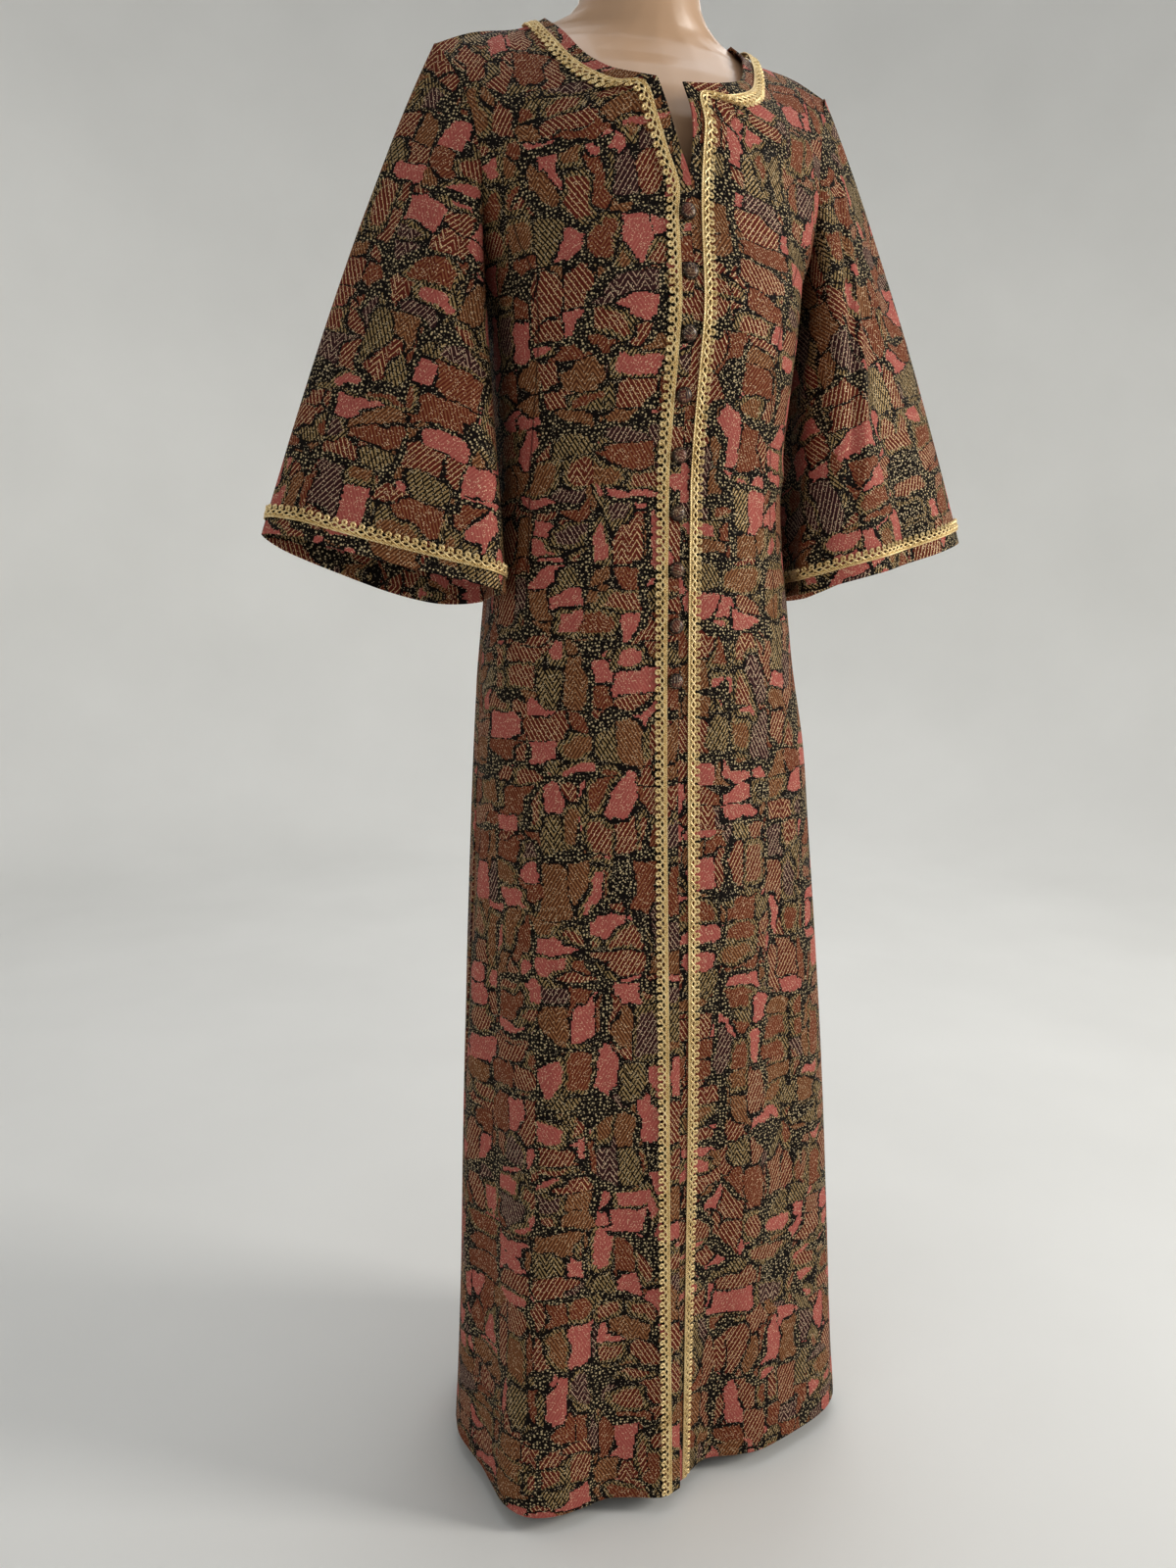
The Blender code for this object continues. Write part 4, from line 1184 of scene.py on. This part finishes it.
def paint_material():
    """Satin black paint on steel, finely textured."""
    n = Nodes("satin_paint")
    grain = n.noise(n.place(), 700.0, 3.0, 0.6)[0]
    cloud = n.noise(n.place(), 14.0, 3.0)[0]
    return n.surface({
        "Base Color": n.clouded(cloud, (0.030, 0.028, 0.027), (0.060, 0.056, 0.053)),
        "Roughness": n.line(grain, 0.25, 0.30),
        "Normal": n.bump(grain, 0.2, 0.0004),
    })


def wall_material():
    n = Nodes("pale_room")
    cloud = n.noise(n.place(), 2.0, 3.0)[0]
    return n.surface({
        "Base Color": n.clouded(cloud, (0.78, 0.78, 0.76), (0.82, 0.82, 0.80)),
        "Roughness": 0.9,
    })


# Pieces

knits = {name: knit_material("knit_" + name, shift) for name, shift in (
    ("front_right", (11.0, 37.0)),
    ("front_left", (462.0, 218.0)),
    ("back", (905.0, 96.0)),
    ("sleeve_right", (1360.0, 740.0)),
    ("sleeve_left", (1822.0, 355.0)),
)}
gold = gold_material()
button_cloth = button_material()

low_row = len(ROW_HEIGHTS)


def panel(points, out, corner_row, side, creases, mirror_rows=0):
    """A half panel's creased points, normals and flat places on the finer mesh."""
    breaks = [(low_row, [-1]), (low_row + corner_row, [0, 1, 2])]
    points, normals = fine_panel(points, out, breaks, mirror_rows)
    cloth = panel_cloth(points, side)
    return hem_turned(creased(points, normals, cloth, creases), normals, cloth), normals, cloth


halves = {}
back_mesh = bmesh.new()
for name, side in SIDES:
    front, back = half_body(side)
    sleeve_points, sleeve_out = sleeve(side, front, back)
    front_points, front_out = opened_seams(front[0], -1), front[1]
    if side > 0:
        front_points -= front_out * sunk(front_points)
    back_points, back_out = opened_seams(back[0], 1), back[1]
    halves[name] = (front_points, front_out, back_points, back_out)

    key = "front_" + name
    points, normals, cloth = panel(front_points, front_out, NECK_CORNER_ROW, side, CREASES[key])
    bm = bmesh.new()
    dart = dart_places(DARTS[key], cloth)
    add_shell(bm, points, normals, relaxed(points, cloth), free=("low", "first"), dart=dart)
    finish_mesh(key + "_cloth", bm, knits[key], key)

    mirror = low_row + NAPE_ROW
    points, normals, cloth = panel(back_points, back_out, NAPE_ROW, side, CREASES["back"], mirror)
    open_rows = int(np.argmax(np.abs(points[:, 0, 0]) > MEETING)) - 1
    points[: open_rows + 1, 0, 0] = 0
    normals[: open_rows + 1, 0, 0] = 0
    places = relaxed(points, cloth)
    add_shell(back_mesh, points, unit(normals), places, open_rows=open_rows, free=("low", "first"))

    points, normals = fine_sleeve(sleeve_points, sleeve_out)
    cloth = sleeve_cloth(points, side)
    key = "sleeve_" + name
    points = creased(points, normals, cloth, CREASES[key])
    bm = bmesh.new()
    places = relaxed(points, cloth, held=False)
    add_shell(bm, points, normals, places, loop=True, free=("high",))
    finish_mesh(key + "_cloth", bm, knits[key], key)

    rings = (sleeve_points[-2], sleeve_points[-3], sleeve_out[-2], sleeve_out[-3])
    ribbon = Ribbon(*(np.concatenate([line, line[:1]]) for line in rings))
    key = "cuff_braid_" + name
    add_braid(key + "_yarn", ribbon, key, closed=True)
bmesh.ops.remove_doubles(back_mesh, verts=back_mesh.verts, dist=MEETING)
finish_mesh("back_cloth", back_mesh, knits["back"], "back")


def opening_line():
    """The line of the long braid, up one front, round the neck and down the other."""
    first = low_row + NAPE_ROW
    lines = []
    for name, _ in SIDES:
        front, front_out, back, back_out = halves[name]
        lines.append([
            np.concatenate([points[:, k], behind[first:-1, k][::-1]])
            for points, behind in ((front, back), (front_out, back_out))
            for k in (1, 2)
        ])
    middle = back[first::-1, 0]
    margin = BACK_EDGE[NAPE_ROW][3]
    near, far = sample(middle, [margin, margin + BRAID_WIDTH]) + back_out[first, 0] * NAPE_LIFT
    nape = (near, far, back_out[first, 0], back_out[first, 0])
    return [np.concatenate([a, [n], b[::-1]]) for a, n, b in zip(lines[0], nape, lines[1])]


add_braid("opening_braid_yarn", Ribbon(*opening_line()), "opening_braid")


# Buttons

BUTTON_TURNS = 40
BUTTON_RINGS = 9
BUTTON_TUCKS = (11, 0.00018)
BUTTON_FIRST_ANGLE = 84
BUTTON_ROUNDNESS = 0.9
BUTTON_UNDERSIDE = (0.985, 0.55)
BUTTON_CLOTH_TURN = 0.7
BUTTON_CLOTH_STEP = (0.031, 0.017)


def add_button(i, edge, edge_out):
    """A dome covered with the dress cloth, which is gathered under its rim."""
    height = BUTTON_TOP - i * BUTTON_PITCH
    point = np.array([np.interp(height, edge[:, 2], edge[:, k]) for k in range(3)])
    out = unit(np.array([0.0, *(np.interp(height, edge[:, 2], edge_out[:, k]) for k in (1, 2))]))
    profile = [(0.0, BUTTON_HEIGHT)]
    for angle in np.radians(np.linspace(BUTTON_FIRST_ANGLE, 0, BUTTON_RINGS)):
        profile.append((
            BUTTON_RADIUS * math.cos(angle) ** BUTTON_ROUNDNESS,
            BUTTON_RIM + (BUTTON_HEIGHT - BUTTON_RIM) * math.sin(angle),
        ))
    under = (BUTTON_RADIUS * BUTTON_UNDERSIDE[0], BUTTON_RIM * BUTTON_UNDERSIDE[1])
    profile += [under, (BUTTON_FOOT_RADIUS, 0.0)]
    bm = bmesh.new()
    uv = bm.loops.layers.uv.new("cloth")
    # The share of the way from the top to the foot, which the material reads for its painted shade towards
    # the rim
    rim = bm.loops.layers.uv.new("rim")
    arcs = running_length(np.array(profile))
    rings = [[bm.verts.new((0, 0, BUTTON_HEIGHT))]]
    for radius, up in profile[1:]:
        ring = []
        for step in range(BUTTON_TURNS):
            turn = 2 * math.pi * step / BUTTON_TURNS
            tuck = BUTTON_TUCKS[1] * (radius / BUTTON_RADIUS) ** 6 * math.sin(BUTTON_TUCKS[0] * turn + i)
            wide = radius + tuck
            ring.append(bm.verts.new((wide * math.cos(turn), wide * math.sin(turn), up)))
        rings.append(ring)

    def place(k, step):
        turn = 2 * math.pi * step / BUTTON_TURNS + BUTTON_CLOTH_TURN * i
        ahead, aside = (i * shift for shift in BUTTON_CLOTH_STEP)
        return (arcs[k] * math.cos(turn) + ahead, arcs[k] * math.sin(turn) + aside), arcs[k] / arcs[-1]

    def face(corners, places):
        made = bm.faces.new(corners)
        for corner, (where, share) in zip(made.loops, places):
            corner[uv].uv = where
            corner[rim].uv = (share, 0)

    for step in range(BUTTON_TURNS):
        after = (step + 1) % BUTTON_TURNS
        places = (place(0, 0), place(1, step), place(1, step + 1))
        face((rings[0][0], rings[1][step], rings[1][after]), places)
        for k in range(1, len(rings) - 1):
            corners = (rings[k][step], rings[k + 1][step], rings[k + 1][after], rings[k][after])
            places = (place(k, step), place(k + 1, step), place(k + 1, step + 1), place(k, step + 1))
            face(corners, places)
    foot = bm.faces.new(rings[-1][::-1])
    for corner in foot.loops:
        corner[uv].uv, share = place(len(rings) - 1, 0)
        corner[rim].uv = (share, 0)
    turn = Matrix.Rotation(math.atan2(-out[1], out[2]), 4, "X")
    spot = lift(point * (0, 1, 1) + out * BUTTON_GAP)
    bmesh.ops.transform(bm, matrix=Matrix.Translation(spot) @ turn, verts=bm.verts)
    return finish_mesh(f"button_{i + 1}_dome", bm, button_cloth, f"button_{i + 1}")


right_front, right_out = halves["right"][:2]
edge_rows = low_row + NAPE_ROW
button_edge = (right_front[:edge_rows, 0], right_out[:edge_rows, 0])
buttons = [add_button(i, *button_edge) for i in range(BUTTON_COUNT)]

for node, made in (("form", form_material()), ("pole", paint_material()), ("base", paint_material())):
    for slot in bpy.data.objects[node].material_slots:
        slot.material = made


# Room, lights and camera

ROOM_RADIUS = 3.6
ROOM_CORNER = 0.9
ROOM_CORNER_ANGLES = range(-80, 1, 10)
ROOM_HEIGHT = 4.2
ROOM_TURNS = 72


def add_room():
    """A pale floor that curves up into a round wall."""
    flat = ROOM_RADIUS - ROOM_CORNER
    profile = [(1.0, 0.0), (flat, 0.0)]
    for angle in np.radians(ROOM_CORNER_ANGLES):
        profile.append((flat + ROOM_CORNER * math.cos(angle), ROOM_CORNER + ROOM_CORNER * math.sin(angle)))
    profile.append((ROOM_RADIUS, ROOM_HEIGHT))
    bm = bmesh.new()
    rings = []
    for radius, up in profile:
        turns = np.linspace(0, 2 * math.pi, ROOM_TURNS, endpoint=False)
        rings.append([bm.verts.new((radius * math.cos(a), radius * math.sin(a), up)) for a in turns])
    middle = bm.verts.new((0, 0, 0))
    for i in range(ROOM_TURNS):
        k = (i + 1) % ROOM_TURNS
        bm.faces.new((middle, rings[0][i], rings[0][k]))
        for a, b in zip(rings, rings[1:]):
            bm.faces.new((a[i], b[i], b[k], a[k]))
    room = smooth_mesh("room", bm, wall_material())


def add_light(name, place, aim, size, power, colour):
    light = bpy.data.lights.new(name, "AREA")
    light.shape = "RECTANGLE"
    light.size, light.size_y = size
    light.energy = power
    light.color = colour
    thing = linked(name, light)
    thing.location = place
    thing.rotation_mode = "QUATERNION"
    thing.rotation_quaternion = (Vector(aim) - Vector(place)).to_track_quat("-Z", "Y")


add_room()
add_light("key", (2.9, -1.45, 1.9), (0.0, 0.0, 0.9), (0.8, 1.2), 53.0, (1.0, 0.97, 0.92))
add_light("fill", (-2.4, -1.8, 1.7), (0.0, 0.0, 0.8), (1.8, 2.2), 4.0, (0.95, 0.97, 1.0))
add_light("top", (0.5, 0.4, 3.1), (0.0, 0.3, 0.6), (2.4, 2.4), 16.0, (1.0, 1.0, 1.0))
add_light("behind", (1.2, 2.5, 2.2), (0.0, 0.6, 0.8), (2.0, 2.0), 12.0, (1.0, 0.99, 0.97))

world = bpy.data.worlds.new("soft_sky")
world.use_nodes = True
sky = world.node_tree.nodes["Background"].inputs
sky["Color"].default_value = (0.93, 0.95, 1.0, 1.0)
sky["Strength"].default_value = 0.30
bpy.context.scene.world = world
bpy.context.scene.view_settings.view_transform = "Standard"
bpy.context.scene.view_settings.look = "Medium High Contrast"

CAMERA_PLACE = (-0.4042, -1.1303, 0.8941 + HEM_CLEAR)
CAMERA_YAW = 0.3041
CAMERA_PITCH = 0.167
CAMERA_ROLL = 0.0067
FOCAL_PIXELS = 1201.27
FRAME_HEIGHT = 1600
SENSOR = 36.0


def add_camera():
    data = bpy.data.cameras.new("camera")
    data.sensor_width = SENSOR
    data.lens = FOCAL_PIXELS * SENSOR / FRAME_HEIGHT
    camera = linked("camera", data)
    turns = ((-CAMERA_YAW, "Z"), (math.pi / 2 - CAMERA_PITCH, "X"), (CAMERA_ROLL, "Z"))
    placed = Matrix.Translation(CAMERA_PLACE)
    for angle, axis in turns:
        placed = placed @ Matrix.Rotation(angle, 4, axis)
    camera.matrix_world = placed
    bpy.context.scene.camera = camera


add_camera()
